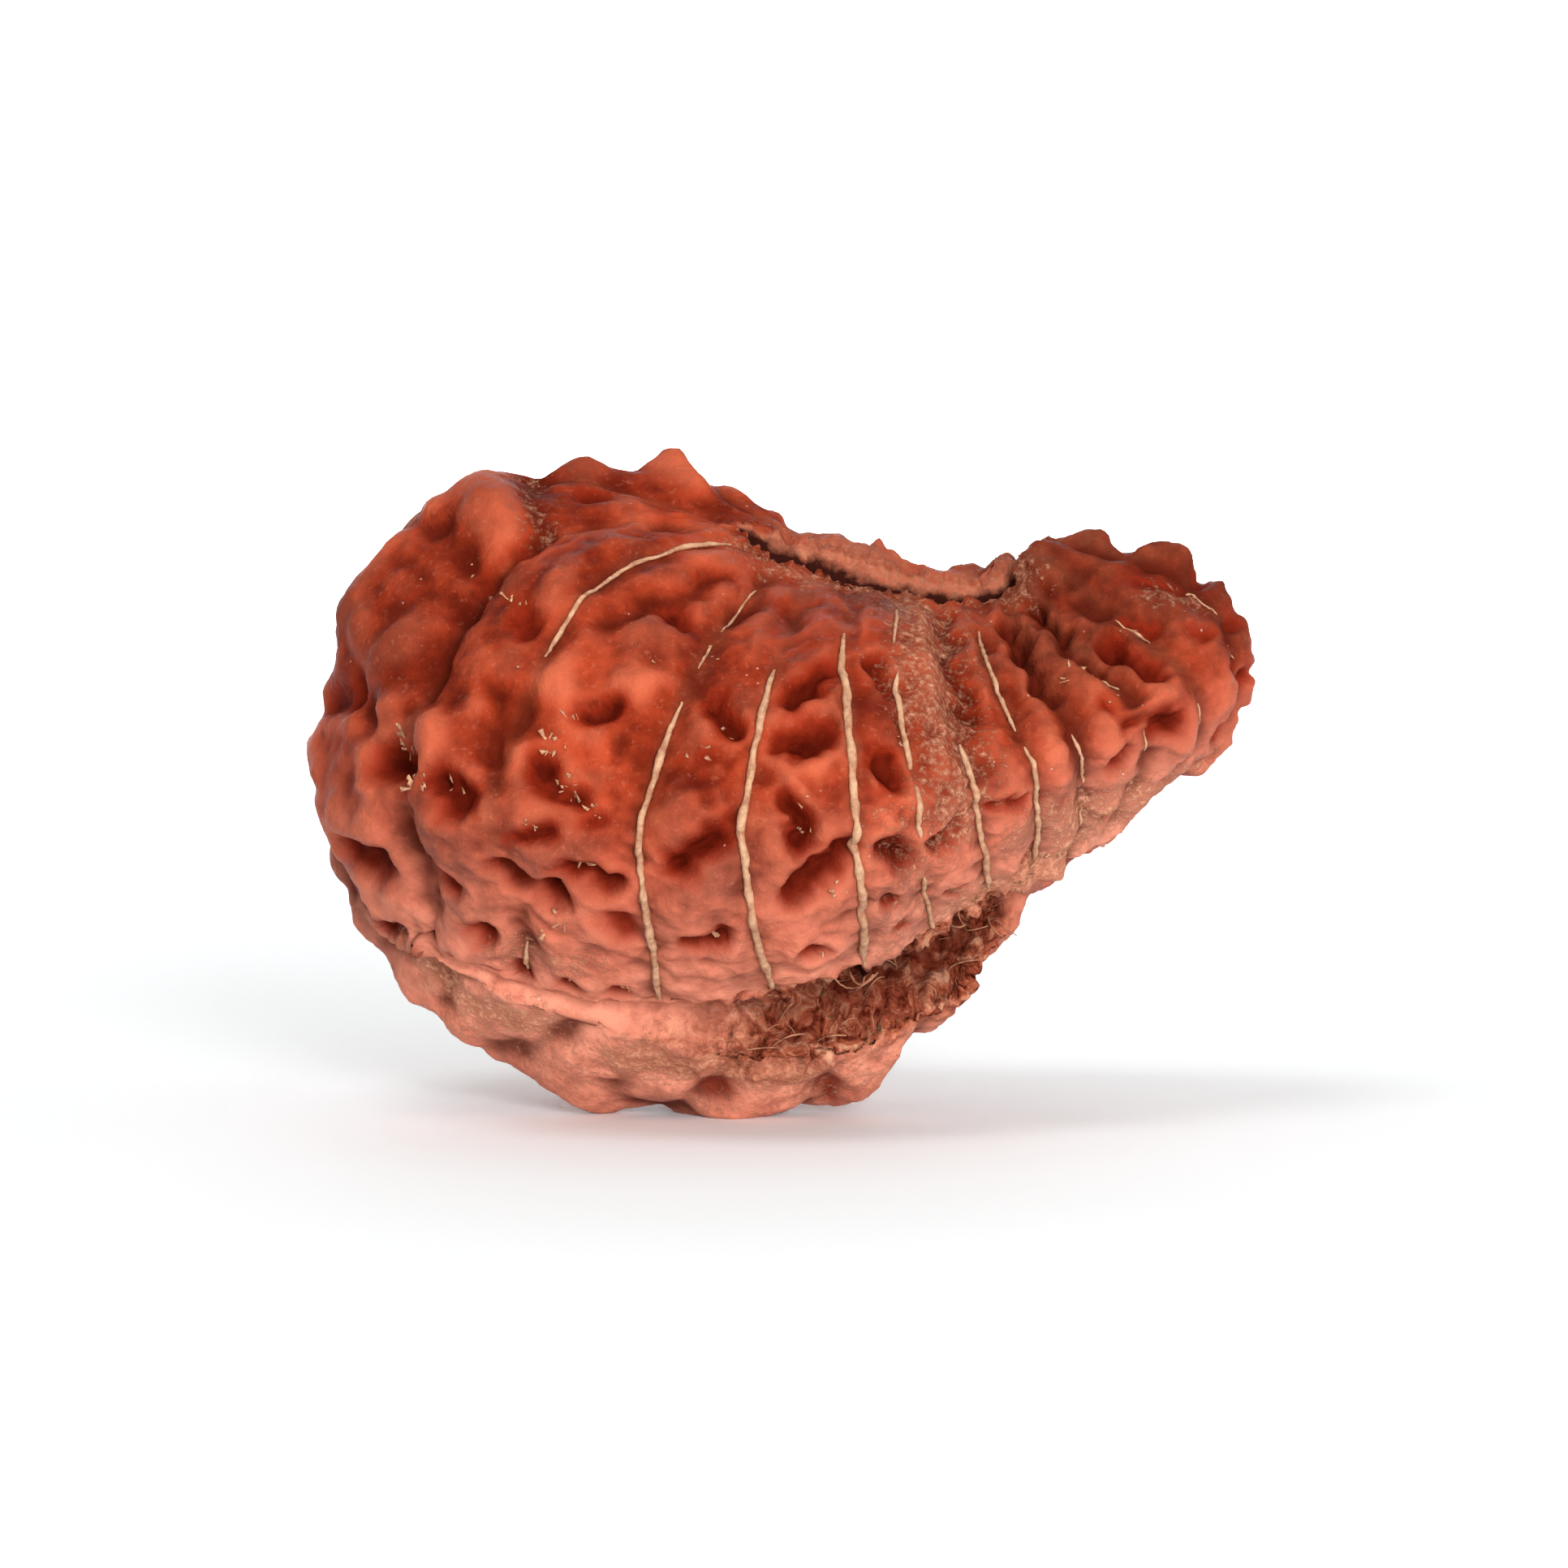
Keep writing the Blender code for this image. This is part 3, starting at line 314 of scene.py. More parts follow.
pits = (
    (0.7, 0.5, ((0.6, 0.3), (0.72, 0.31))), (1.0, 0.6, ((1.62, 0.185), (1.7, 0.195))),
    (0.9, 0.6, ((1.45, 0.365), (1.6, 0.345))), (1.0, 0.6, ((1.2, 0.445), (1.38, 0.465))),
    (0.9, 0.6, ((1.55, 0.475),)), (0.6, 0.45, ((1.68, 0.51),)), (0.7, 0.42, ((1.2, 0.57), (1.42, 0.55))),
    (1.1, 0.62, ((1.5, 0.635), (1.75, 0.66))), (1.5, 0.7, ((0.97, 0.69), (1.2, 0.715), (1.38, 0.72))),
    (1.1, 0.75, ((0.45, 0.53), (0.75, 0.54))), (1.4, 0.8, ((21.8, 0.53), (22.1, 0.53))),
    (1.0, 0.95, ((21.4, 0.67), (21.65, 0.7))), (0.7, 0.7, ((0.25, 0.765),)), (0.8, 0.7, ((0.6, 0.885),)),
    (0.6, 0.5, ((0.4, 0.975), (0.65, 1.0))), (0.5, 0.5, ((0.95, 0.99),)), (0.8, 0.6, ((1.35, 0.975),)),
    (0.7, 0.5, ((1.72, 0.975),)), (0.5, 0.8, ((1.8, 0.77),)), (0.5, 0.6, ((0.05, 0.22),)),
    (0.4, 0.6, ((21.9, 0.28),)), (0.8, 0.75, ((21.1, 0.45), (21.4, 0.45))),
    (1.0, 0.65, ((2.3, 0.29), (2.55, 0.325))), (0.5, 0.45, ((2.4, 0.38),)),
    (0.8, 0.7, ((3.25, 0.31), (3.55, 0.27), (3.8, 0.26))), (1.3, 0.8, ((3.35, 0.37), (3.65, 0.365))),
    (1.3, 0.52, ((3.3, 0.47), (3.42, 0.53), (3.45, 0.575))), (0.7, 0.5, ((4.65, 0.24), (4.72, 0.3))),
    (0.9, 0.55, ((4.45, 0.42), (4.5, 0.47))), (1.1, 0.6, ((4.4, 0.65), (4.6, 0.69))),
    (0.8, 0.5, ((4.45, 0.825),)), (0.6, 0.45, ((4.5, 0.93),)),
    (1.1, 0.65, ((3.3, 0.695), (3.55, 0.67), (3.8, 0.63))), (1.1, 0.62, ((3.43, 0.885),)),
    (1.0, 0.65, ((2.35, 0.58), (2.5, 0.55), (2.7, 0.53))), (0.6, 0.5, ((2.4, 0.62),)),
    (1.1, 0.6, ((2.38, 0.815), (2.62, 0.805))), (0.6, 0.42, ((2.45, 1.0),)), (0.4, 0.35, ((2.7, 1.0),)),
    (0.4, 0.4, ((5.45, 0.39),)), (0.4, 0.4, ((5.35, 0.53),)), (0.8, 0.5, ((5.2, 0.68), (5.45, 0.66))),
    (0.8, 0.5, ((5.45, 0.9),)), (0.6, 0.42, ((6.3, 0.65), (6.6, 0.68))), (0.6, 0.5, ((6.7, 0.92),)),
    (0.4, 0.4, ((7.4, 0.77),)), (0.6, 0.5, ((8.5, 0.45),)), (0.5, 0.4, ((8.85, 0.53),)),
    (1.2, 0.72, ((8.55, 0.68),)), (0.4, 0.4, ((8.05, 0.88),)), (0.8, 0.5, ((8.6, 0.9),)),
    (1.4, 0.52, ((9.45, 0.27), (9.55, 0.34), (9.6, 0.42))), (1.1, 0.7, ((9.25, 0.59), (9.5, 0.6))),
    (0.6, 0.5, ((9.7, 0.83),)), (0.6, 0.42, ((10.0, 0.24), (10.2, 0.3))), (0.7, 0.5, ((10.5, 0.37),)),
    (0.5, 0.5, ((10.8, 0.32),)), (0.6, 0.45, ((10.6, 0.2), (10.8, 0.27))), (0.4, 0.5, ((10.5, 0.17),)),
    (0.8, 0.6, ((10.7, 0.72),)), (0.5, 0.5, ((11.2, 0.38),)), (0.4, 0.5, ((10.85, 0.5),)),
    (0.6, 0.5, ((16.75, 0.02),)), (0.4, 0.9, ((18.9, 0.93),)))
grooves = (
    (0.6, 0.45, ((21.25, 0.31), (21.6, 0.315), (21.95, 0.33))),
    (0.6, 0.45, ((21.4, 0.44), (21.68, 0.47), (21.92, 0.44))),
    (0.5, 0.4, ((21.3, 0.33), (21.25, 0.38), (21.4, 0.44))),
    (0.5, 0.45, ((21.95, 0.2), (22.0, 0.3), (22.0, 0.41))),
    (0.7, 0.65, ((1.3, 0.25), (1.45, 0.19), (1.55, 0.13), (1.65, 0.08))),
    (0.5, 0.6, ((2.05, 0.04), (2.08, 0.13))), (0.5, 0.55, ((0.75, 0.38), (0.85, 0.46))),
    (0.6, 0.6, ((21.15, 0.28), (21.45, 0.26), (21.75, 0.28))), (0.4, 0.5, ((21.6, 0.38), (21.7, 0.41))),
    (0.4, 0.6, ((0.35, 0.07), (0.45, 0.12))), (0.5, 0.5, ((1.75, 0.34), (1.7, 0.38))),
    (0.75, 0.48, ((6.15, 0.05), (6.2, 0.2), (6.25, 0.36))), (0.35, 0.32, ((7.1, 0.12), (7.15, 0.35))),
    (1.25, 0.42, ((7.75, 0.1), (7.8, 0.22), (7.85, 0.33))),
    (1.35, 0.42, ((8.6, 0.06), (8.75, 0.14), (8.85, 0.24), (8.9, 0.36))),
    (0.5, 0.45, ((9.55, 0.08), (9.8, 0.18))), (0.3, 0.4, ((4.1, 0.08), (4.15, 0.18))),
    (0.45, 0.5, ((20.85, 0.175), (21.4, 0.17), (21.9, 0.19))))

# The closed crease between the front mukhis and the lower lobe
creases = (
    (0.9, 0.4, ((21.55, 0.93), (21.8, 0.99), (0.1, 1.0))),
    (0.8, 0.35, ((20.2, 0.8), (20.6, 0.9), (20.95, 0.98))),
    (0.5, 0.3, ((21.2, 0.76), (21.1, 0.88), (21.2, 0.98))), (0.4, 0.3, ((19.5, 0.9), (19.3, 1.0))))

# Where tan dust lies in the relief: (strength, radius, route)
dusty = (
    (0.6, 2.2, ((5.4, 0.05), (5.5, 0.3), (5.5, 0.6))), (0.35, 2.0, ((4.6, 0.6), (4.6, 0.95))),
    (0.9, 1.4, ((5.6, 0.97), (6.6, 0.98), (7.6, 0.95))), (0.5, 1.6, ((6.6, 0.8), (7.6, 0.8))),
    (0.4, 0.8, ((20.85, 0.175), (21.4, 0.17), (21.9, 0.19))), (0.85, 1.2, ((19.6, 0.97), (18.4, 0.98))),
    (0.75, 1.3, ((21.2, 0.9), (20.6, 0.93), (20.2, 0.97))), (0.35, 3.0, ((20.4, 0.9), (17.6, 0.9))),
    (0.5, 1.3, ((1.0, 0.02), (3.0, 0.02), (9.0, 0.02))), (0.4, 1.4, ((1.5, 0.9), (0.8, 0.93))),
    (0.6, 0.9, ((21.0, 0.26), (21.0, 0.3))), (0.5, 0.9, ((10.6, 0.24), (10.8, 0.3))),
    (0.65, 1.8, ((7.6, 0.86), (10.6, 0.86))), (0.4, 2.0, ((17.5, 0.12), (14.5, 0.1))),
    (0.35, 2.5, ((16.5, 0.7), (13.5, 0.7))))


def unit(value):
    return np.clip(value, 0.0, 1.0)


def bell(distance):
    return np.exp(-distance ** 2)


def between(value, start, end):
    return unit((value - start) / (end - start))


def fadeIn(value, start, end):
    part = between(value, start, end)
    return part * part * (3.0 - 2.0 * part)


def tableAt(table, mukhi):
    return np.interp(mukhi, *np.array(table).T)


def cubic(start, end, startPull, endPull, part):
    square = part ** 2
    cube = part ** 3
    return ((2 * cube - 3 * square + 1) * start + (cube - 2 * square + part) * startPull
            + (3 * square - 2 * cube) * end + (cube - square) * endPull)


def ringCurve(ring, mukhi):
    knots = np.array(stations, float)
    knots = np.concatenate((knots[-2:] - stone["mukhis"], knots, knots[:2] + stone["mukhis"]))
    points = np.array(ring)
    points = np.concatenate((points[-2:], points, points[:2]))
    gaps = np.diff(knots)[:, None]
    slopes = np.diff(points, axis=0) / gaps
    pulls = (slopes[:-1] * gaps[1:] + slopes[1:] * gaps[:-1]) / (gaps[1:] + gaps[:-1])
    knots = knots[1:-1]
    points = points[1:-1]
    mukhi = np.mod(mukhi, stone["mukhis"])
    start = np.searchsorted(knots, mukhi, side="right") - 1
    gap = (knots[start + 1] - knots[start])[..., None]
    part = (mukhi - knots[start])[..., None] / gap
    return cubic(points[start], points[start + 1], pulls[start] * gap, pulls[start + 1] * gap, part)


# Places on the cage before any relief; height runs from 0 at the slit's lip to 1 at the hollow's lip
def smoothStone(mukhi, height):
    mukhi, height = np.broadcast_arrays(np.asarray(mukhi, float), np.asarray(height, float))
    curves = np.stack([ringCurve(ring, mukhi) for ring in rings])
    pulls = np.empty_like(curves)
    for i in range(1, len(rings) - 1):
        pulls[i] = (curves[i + 1] - curves[i - 1]) / (ringHeights[i + 1] - ringHeights[i - 1])
    pulls[0] = 1.5 * (curves[1] - curves[0]) / ringHeights[1] - 0.5 * pulls[1]
    pulls[-1] = 1.5 * (curves[-1] - curves[-2]) / (1.0 - ringHeights[-2]) - 0.5 * pulls[-2]
    places = np.empty(mukhi.shape + (3,))
    band = np.clip(np.searchsorted(ringHeights, height, side="right") - 1, 0, len(rings) - 2)
    for i in range(len(rings) - 1):
        here = band == i
        gap = ringHeights[i + 1] - ringHeights[i]
        part = ((height[here] - ringHeights[i]) / gap)[:, None]
        places[here] = cubic(curves[i][here], curves[i + 1][here],
                             pulls[i][here] * gap, pulls[i + 1][here] * gap, part)
    return places


# The wall goes from the lip to a floor that the front and rear halves share
def slitWall(lip, lipPull, folded, slit):
    partner = lip[::-1]
    columns = len(lip)
    half = columns // 2
    inFront = np.arange(columns) <= half
    depths = tableAt(slit["depths"], folded)
    share = np.where(inFront, slit["floorShare"], 1.0 - slit["floorShare"])[:, None]
    floor = lip * share + partner * (1.0 - share) + depths[:, None] * np.array(slit["inward"])
    floor[half + 1:] = floor[:columns - half - 1][::-1]
    least, byDepth, most = stone["lipReach"]
    lipPull = lipPull / np.linalg.norm(lipPull, axis=1, keepdims=True)
    lipPull = lipPull * np.minimum(most, least + byDepth * depths)[:, None]
    bulge = np.where(inFront, 0.0, slit["rearBulge"])[:, None] * (partner - lip)
    walls = []
    for part in np.arange(1, stone["wallRows"] + 1) / stone["wallRows"]:
        wall = cubic(lip, floor, lipPull, (partner - lip) * 0.5, part)
        walls.append(wall + bulge * math.sin(math.pi * part))
    walls[-1] = floor
    return np.stack(walls)


# Rows below height 0 go down the slit, and rows above 1 go up into the hollow
def stoneGrid(mukhi):
    inside = 0.01
    height = np.linspace(0.0, 1.0, stone["bodyRows"] + 1)
    body = smoothStone(mukhi[None, :], height[:, None])
    folded = np.minimum(mukhi, stone["mukhis"] - mukhi)
    upper = slitWall(body[0], body[0] - smoothStone(mukhi, inside), folded, upperSlit)
    lower = slitWall(body[-1], body[-1] - smoothStone(mukhi, 1.0 - inside), folded, lowerHollow)
    rows = np.linspace(0.0, 1.0, stone["wallRows"] + 1)
    grid = np.concatenate((upper[::-1], body, lower))
    return grid, np.concatenate((rows[:-1] - 1.0, height, 1.0 + rows[1:]))


def outward(grid):
    ring = grid[:, :-1]
    along = np.roll(ring, -1, axis=1) - np.roll(ring, 1, axis=1)
    along = np.concatenate((along, along[:, :1]), axis=1)
    normals = np.cross(along, np.gradient(grid, axis=0))
    return normals / np.maximum(np.linalg.norm(normals, axis=2, keepdims=True), 1e-9)


def farFrom(points, route):
    anchors = [smoothStone(mukhi, height) for mukhi, height in route]
    nearest = np.full(points.shape[:-1], np.inf)
    for start, end in zip(anchors, anchors[1:] or anchors):
        span = end - start
        along = np.sum((points - start) * span, axis=-1)
        part = unit(along / max(np.sum(span ** 2), 1e-9))
        nearest = np.minimum(nearest, np.linalg.norm(points - start - part[..., None] * span, axis=-1))
    return nearest


def reliefBehind():
    chance = random.Random(behindRelief["seed"])
    morePits = []
    moreKnobs = []
    taken = []
    seenAfter, seenBelow = behindRelief["frontSees"]
    lowFrom, lowTo, lowBelow = behindRelief["frontSeesLow"]
    placedAfter, top, bottom = behindRelief["handPlaced"]
    for _ in range(behindRelief["tries"]):
        mukhi = chance.uniform(*behindRelief["mukhis"])
        height = chance.uniform(*behindRelief["heights"])
        atFatEnd = mukhi > behindRelief["fatEndFrom"]
        room = chance.uniform(*behindRelief["fatEndGaps" if atFatEnd else "gaps"])
        place = smoothStone(mukhi, height)
        seenInFront = mukhi > seenAfter and height > seenBelow
        besideLine = abs(mukhi - round(mukhi)) < behindRelief["lineGap"]
        handPlaced = mukhi > placedAfter and top < height < bottom
        crowded = any(np.linalg.norm(place - other) < room for other in taken)
        if seenInFront or besideLine or handPlaced or crowded:
            continue
        taken.append(place)
        lean = [chance.uniform(-most, most) for most in behindRelief["lean"]]
        route = ((mukhi - lean[0], height - lean[1]), (mukhi + lean[0], height + lean[1]))
        if chance.random() < behindRelief["pitShare"]:
            depth = chance.uniform(*behindRelief["pitDepths"])
            if height > lowBelow and lowFrom < mukhi < lowTo:
                depth = depth * behindRelief["lowPitShare"]
            morePits.append((depth, behindRelief["pitRadius"] * room, route))
        else:
            knobHeight = chance.uniform(*behindRelief["knobHeights"])
            moreKnobs.append((knobHeight, behindRelief["knobRadius"] * room, route))
    return tuple(morePits), tuple(moreKnobs)


def lumps(points, size, octaves):
    flat = points.reshape(-1, 3) / size
    values = [noise.fractal(Vector(point), 0.6, 2.1, octaves) for point in flat]
    return np.array(values).reshape(points.shape[:-1])


# Distance from the nearest cell's centre, and from its border
def cellShapes(points, size):
    flat = points.reshape(-1, 3) / size
    nearest = np.array([noise.voronoi(Vector(point))[0][:2] for point in flat])
    fromCentre = nearest[:, 0].reshape(points.shape[:-1])
    fromBorder = (nearest[:, 1] - nearest[:, 0]).reshape(points.shape[:-1])
    return fromCentre, fromBorder


def warped(points, size, amount):
    flat = points.reshape(-1, 3) / size
    starts = [Vector(start) for start in stone["warpStarts"]]
    moves = [[noise.fractal(Vector(point) + start, 0.6, 2.1, 2) for start in starts] for point in flat]
    return points + amount * np.array(moves).reshape(points.shape)


def softened(values, rounds):
    for _ in range(rounds):
        values = 0.5 * values + 0.25 * (np.roll(values, 1, axis=1) + np.roll(values, -1, axis=1))
        values[1:-1] = 0.5 * values[1:-1] + 0.25 * (values[2:] + values[:-2])
    return values


def ribsAndLines(mukhi, bodyHeight):
    probe = 0.02
    across = smoothStone(mukhi + probe, bodyHeight) - smoothStone(mukhi - probe, bodyHeight)
    width = np.linalg.norm(across, axis=2) / (2 * probe)
    line = np.round(mukhi)
    drift = np.array([lineDrift.get(int(number), 0.0) for number in line])
    offLine = np.abs(mukhi - line - drift * np.sin(np.pi * bodyHeight))
    swell = np.sin(np.pi * np.clip(offLine, 0.0, 0.5)) ** stone["mukhiRoundness"]
    ribs = tableAt(stone["ribs"], mukhi) * fadeIn(bodyHeight, *stone["ribsBegin"])
    ribs = ribs * np.clip(width / stone["fullRibWidth"], stone["leastRib"], 1.0)
    valley = bell(offLine * width / stone["lineWidth"])
    return ribs * (stone["mukhiSwell"] * (swell - 0.5) - stone["lineDepth"] * valley), valley


def foldsBelowSlit(mukhi, bodyHeight, bend):
    begin, end = stone["foldFades"]
    topFade = 1.0 - fadeIn(bodyHeight - tableAt(stone["foldEnds"], mukhi), 0.0, end)
    folds = np.stack(np.broadcast_arrays(
        mukhi * stone["foldsInMukhi"], bodyHeight * stone["foldsInHeight"], 4.0), axis=-1)
    height = stone["foldHeight"] * tableAt(stone["foldShare"], mukhi)
    height = height * topFade * fadeIn(bodyHeight, 0.0, begin)
    return height * lumps(folds + stone["foldBend"] * bend, 1.0, 2), topFade


# Pits are dug with steep sides, an uneven floor and a low rim, and masks are made for the painted shade in
# them and around them
def digPits(raised, bent, unevenness, allPits):
    dug, shadeInPits, shadeAroundPits = np.zeros((3,) + raised.shape)
    unevenBy, floorSize = stone["pitFloor"]
    holeFull, haloFull = stone["darkFrom"]
    unevenFloor = 1.0 + unevenBy * lumps(bent, floorSize, 2)
    for amount, radius, route in allPits:
        away = farFrom(bent, route) / (stone["pitMouth"] * radius)
        hole = np.exp(-np.abs(away) ** stone["pitSteepness"])
        dug = dug + amount * hole * unevenFloor
        shadeInPits = np.maximum(shadeInPits, hole * min(1.0, amount / holeFull))
        shadeAroundPits = np.maximum(shadeAroundPits, bell(away / stone["haloWidth"]) * min(1.0, amount / haloFull))
        rim = bell((away - stone["rimAway"]) / stone["rimWidth"])
        raised = raised + stone["rim"] * amount * rim * unevenness
    return raised, dug, shadeInPits, shadeAroundPits


# The relief's height over the cage, and the maps that the materials read
def reliefMaps(points, mukhi, height):
    onBody = unit(1.0 - 2.0 * np.maximum(-height, height - 1.0))[:, None]
    bodyHeight = unit(height)[:, None]
    bent = warped(points, stone["warpSize"], stone["warp"])
    bent = warped(bent, stone["fineWarpSize"], stone["fineWarp"])
    finer = 1.0 + tableAt(stone["finer"], mukhi)[None, :, None]
    finerFlat = finer[..., 0]

    raised, valley = ribsAndLines(mukhi, bodyHeight)
    raised = raised + stone["broadHeight"] * lumps(points, stone["broadSize"], 2)
    folds, topFade = foldsBelowSlit(mukhi, bodyHeight, bent - points)
    raised = raised + folds
    calmAtTop = 1.0 - stone["calmInFolds"] * topFade
    usual, variation = stone["uneven"]
    unevenness = usual + variation * lumps(points, stone["unevenSize"], 1)
    cells, borders = cellShapes(bent * finer, stone["dimpleSize"])
    dimples = stone["dimpleDepth"] / finerFlat * calmAtTop * unevenness
    raised = raised - dimples * bell(cells / stone["dimpleRadius"])
    begin, most = stone["wrinkleShare"]
    wrinkles = np.clip(unevenness - begin, 0.0, most) * np.exp(-borders / stone["wrinkleWidth"])
    wrinkles = wrinkles / finerFlat
    raised = raised - stone["wrinkleDepth"] * calmAtTop * wrinkles

    morePits, moreKnobs = reliefBehind()
    for amount, radius, route in swells + knobs + moreKnobs:
        raised = raised + amount * bell(farFrom(bent if radius < 1.0 else points, route) / radius)
    raised, dug, shadeInPits, shadeAroundPits = digPits(raised, bent, unevenness, pits + morePits)
    calmInPits = 1.0 - stone["calmInPits"] * unit(dug)
    middle = lumps(bent * finer, stone["middleSize"], 3)
    raised = raised - dug + stone["middleHeight"] * calmInPits * middle / finerFlat
    for amount, radius, route in grooves:
        away = farFrom(bent, route) / radius
        raised = raised - stone["grooveShare"] * amount * bell(away)
        # Grooves take painted shade too
        shadeInPits = np.maximum(shadeInPits, 0.9 * min(1.0, amount) * bell(away / 0.7))
    for amount, radius, route in creases:
        raised = raised - amount * np.exp(-farFrom(bent, route) / radius)
    dust = np.zeros(points.shape[:-1])
    for amount, radius, route in dusty:
        dust = np.maximum(dust, amount * bell(farFrom(bent, route) / radius))

    grainHeight, grainSize = stone["hollowGrain"]
    wallGrain = grainHeight * lumps(points, grainSize, 3) * (height > 1.0)[:, None]
    grainHeight, grainSize = stone["slitGrain"]
    nearSlit = unit(1.0 - np.maximum(height, 0.0) / stone["slitGrainEnd"])[:, None]
    wallGrain = wallGrain + grainHeight * lumps(points, grainSize, 3) * nearSlit
    floorFade = unit(2.0 - 2.0 * np.abs(height - 0.5))[:, None]
    reliefRounds, nearRounds, aroundRounds = stone["softened"]
    raised = softened(raised * onBody, reliefRounds)
    near = softened(raised, nearRounds)
    around = softened(near, aroundRounds)
    deepAround, deepNear = stone["sunkShadeDepths"]
    highAround, highNear = stone["crestHighlightHeights"]
    return raised + wallGrain * floorFade, {
        # The sunk, pit and halo maps mask painted shade, the crest map a painted highlight, and the slit map
        # the painted shade on the slit's walls, which also guides the fibres
        "sunk": unit((around - near) / deepAround + (near - raised) / deepNear),
        "crestHighlight": unit((near - around) / highAround + (raised - near) / highNear),
        "dust": dust,
        "line": valley * onBody,
        "pitShade": shadeInPits * onBody,
        "haloShade": shadeAroundPits * onBody,
        "slit": unit(-4.0 * height)[:, None] * np.ones(raised.shape),
    }


def tilted(points):
    right, up, back = np.moveaxis(points, -1, 0)
    tilt = math.radians(stone["tilt"])
    return np.stack((right, back * math.cos(tilt) + up * math.sin(tilt),
                     up * math.cos(tilt) - back * math.sin(tilt)), axis=-1)


def placeOnFlatSpot(points):
    points = tilted(points) * (stone["length"] / np.ptp(tilted(points)[..., 0]))
    low = points[..., 2].min() + stone["flatSpotCut"]
    points[..., 2] = np.maximum(points[..., 2], low)
    middle = (points.min(axis=(0, 1)) + points.max(axis=(0, 1))) / 2.0
    shift = np.array((middle[0], middle[1], low))
    return points - shift, -shift


def columnPlaces():
    steps = np.linspace(0.0, stone["mukhis"] / 2, 1101)
    density = tableAt(stone["columnsInMukhi"], steps)
    count = np.concatenate(([0.0], np.cumsum((density[1:] + density[:-1]) / 2.0 * np.diff(steps))))
    front = np.interp(np.linspace(0.0, count[-1], round(count[-1]) + 1), count, steps)
    return np.concatenate((front, stone["mukhis"] - front[-2::-1]))


mukhiAt = columnPlaces()
columns = len(mukhiAt) - 1
smooth, heightAt = stoneGrid(mukhiAt)
raised, maps = reliefMaps(smooth, mukhiAt, heightAt)
surface = smooth + outward(smooth) * raised[..., None]
surface[:, -1] = surface[:, 0]
surface[0] = smooth[0]
surface[-1] = smooth[-1]
surface, ringMiddle = placeOnFlatSpot(surface)
surfaceNormals = outward(surface)
print("stone shaped")

# Where the shell's colours lie, by mukhi and height
paint = {
    "tornFrom": (0.982, 0.95),  # in front and behind
    "tornRagged": 0.03,
    "tornRaggedSize": 1.6,
    "tornSharpness": 14.0,
    "tornDepths": (1.3, 2.5),
    # A near-black painted shadow at the deepest spot of the torn hollow
    "cavityShadeRoute": ((4.0, 1.0), (4.35, 1.0)),
    "cavityShadeStrength": 1.3,
    # Painted shade, darker deeper in the torn hollow
    "deepFull": 4.0,
    "deepSharpness": 1.4,
    # Painted bounce light: paler and pinker low down on the stone, by mukhi
    "bounceLight": ((0, 0.85), (6, 1.15), (9, 1.4), (11, 1.0), (14, 0.4), (16, 0.9), (18, 1.4), (21.5, 1.25),
             (22, 0.85)),
    "bounceLightHeights": (0.42, 0.98),
    "bounceLightPower": 1.5,
    "darkWall": (0.14, 0.34),  # share of the way down the slit's rear wall over which its painted shade deepens
    "brownHeights": (0.56, 0.26),
    "brown": ((6.5, 0.0), (8.5, 1.0), (12.0, 1.0), (14.0, 0.0)),
    "rearRim": ((11.5, 0.0), (12.5, 1.0), (19.5, 1.0), (20.5, 0.0)),
    "rearRimShare": 0.16,
    "rearRimHeight": 0.01,
    "rearRimWidth": 0.06,
}


def paintHollowAndSlit():
    heights = heightAt[:, None]
    behind = mukhiAt > stone["mukhis"] / 2
    depth = tableAt(lowerHollow["depths"], np.minimum(mukhiAt, stone["mukhis"] - mukhiAt))
    tornEdge = np.where(behind, paint["tornFrom"][1], paint["tornFrom"][0])
    tornEdge = tornEdge + paint["tornRagged"] * lumps(surface, paint["tornRaggedSize"], 3)
    inHollow = unit((heights - tornEdge) * paint["tornSharpness"])
    maps["torn"] = inHollow * between(depth, *paint["tornDepths"])
    # Painted shadow at the hollow's deepest spot
    maps["cavityShade"] = unit(paint["cavityShadeStrength"] * bell(farFrom(smooth, paint["cavityShadeRoute"])))
    # Painted shade, darker deeper in the torn hollow
    maps["deepShade"] = unit((heights - 1.0) * paint["deepSharpness"]) * unit(depth / paint["deepFull"])
    # Painted bounce light, stronger low down
    lowDown = between(heights, *paint["bounceLightHeights"]) ** paint["bounceLightPower"]
    maps["bounceLight"] = lowDown * tableAt(paint["bounceLight"], mukhiAt)
    maps["brown"] = tableAt(paint["brown"], mukhiAt) * between(heights, *paint["brownHeights"])
    # Painted shade on the slit's walls: all of the front wall, and the rear wall darker further down
    wallDown = unit(-heights)
    rearWall = 0.25 * unit(6.0 * wallDown) + 0.75 * between(wallDown, *paint["darkWall"])
    rearRim = paint["rearRimShare"] * tableAt(paint["rearRim"], mukhiAt)
    rearRim = rearRim * unit(1.0 - np.abs(heights - paint["rearRimHeight"]) / paint["rearRimWidth"])
    maps["slit"] = np.maximum(np.where(behind, rearWall, maps["slit"]), rearRim)


paintHollowAndSlit()


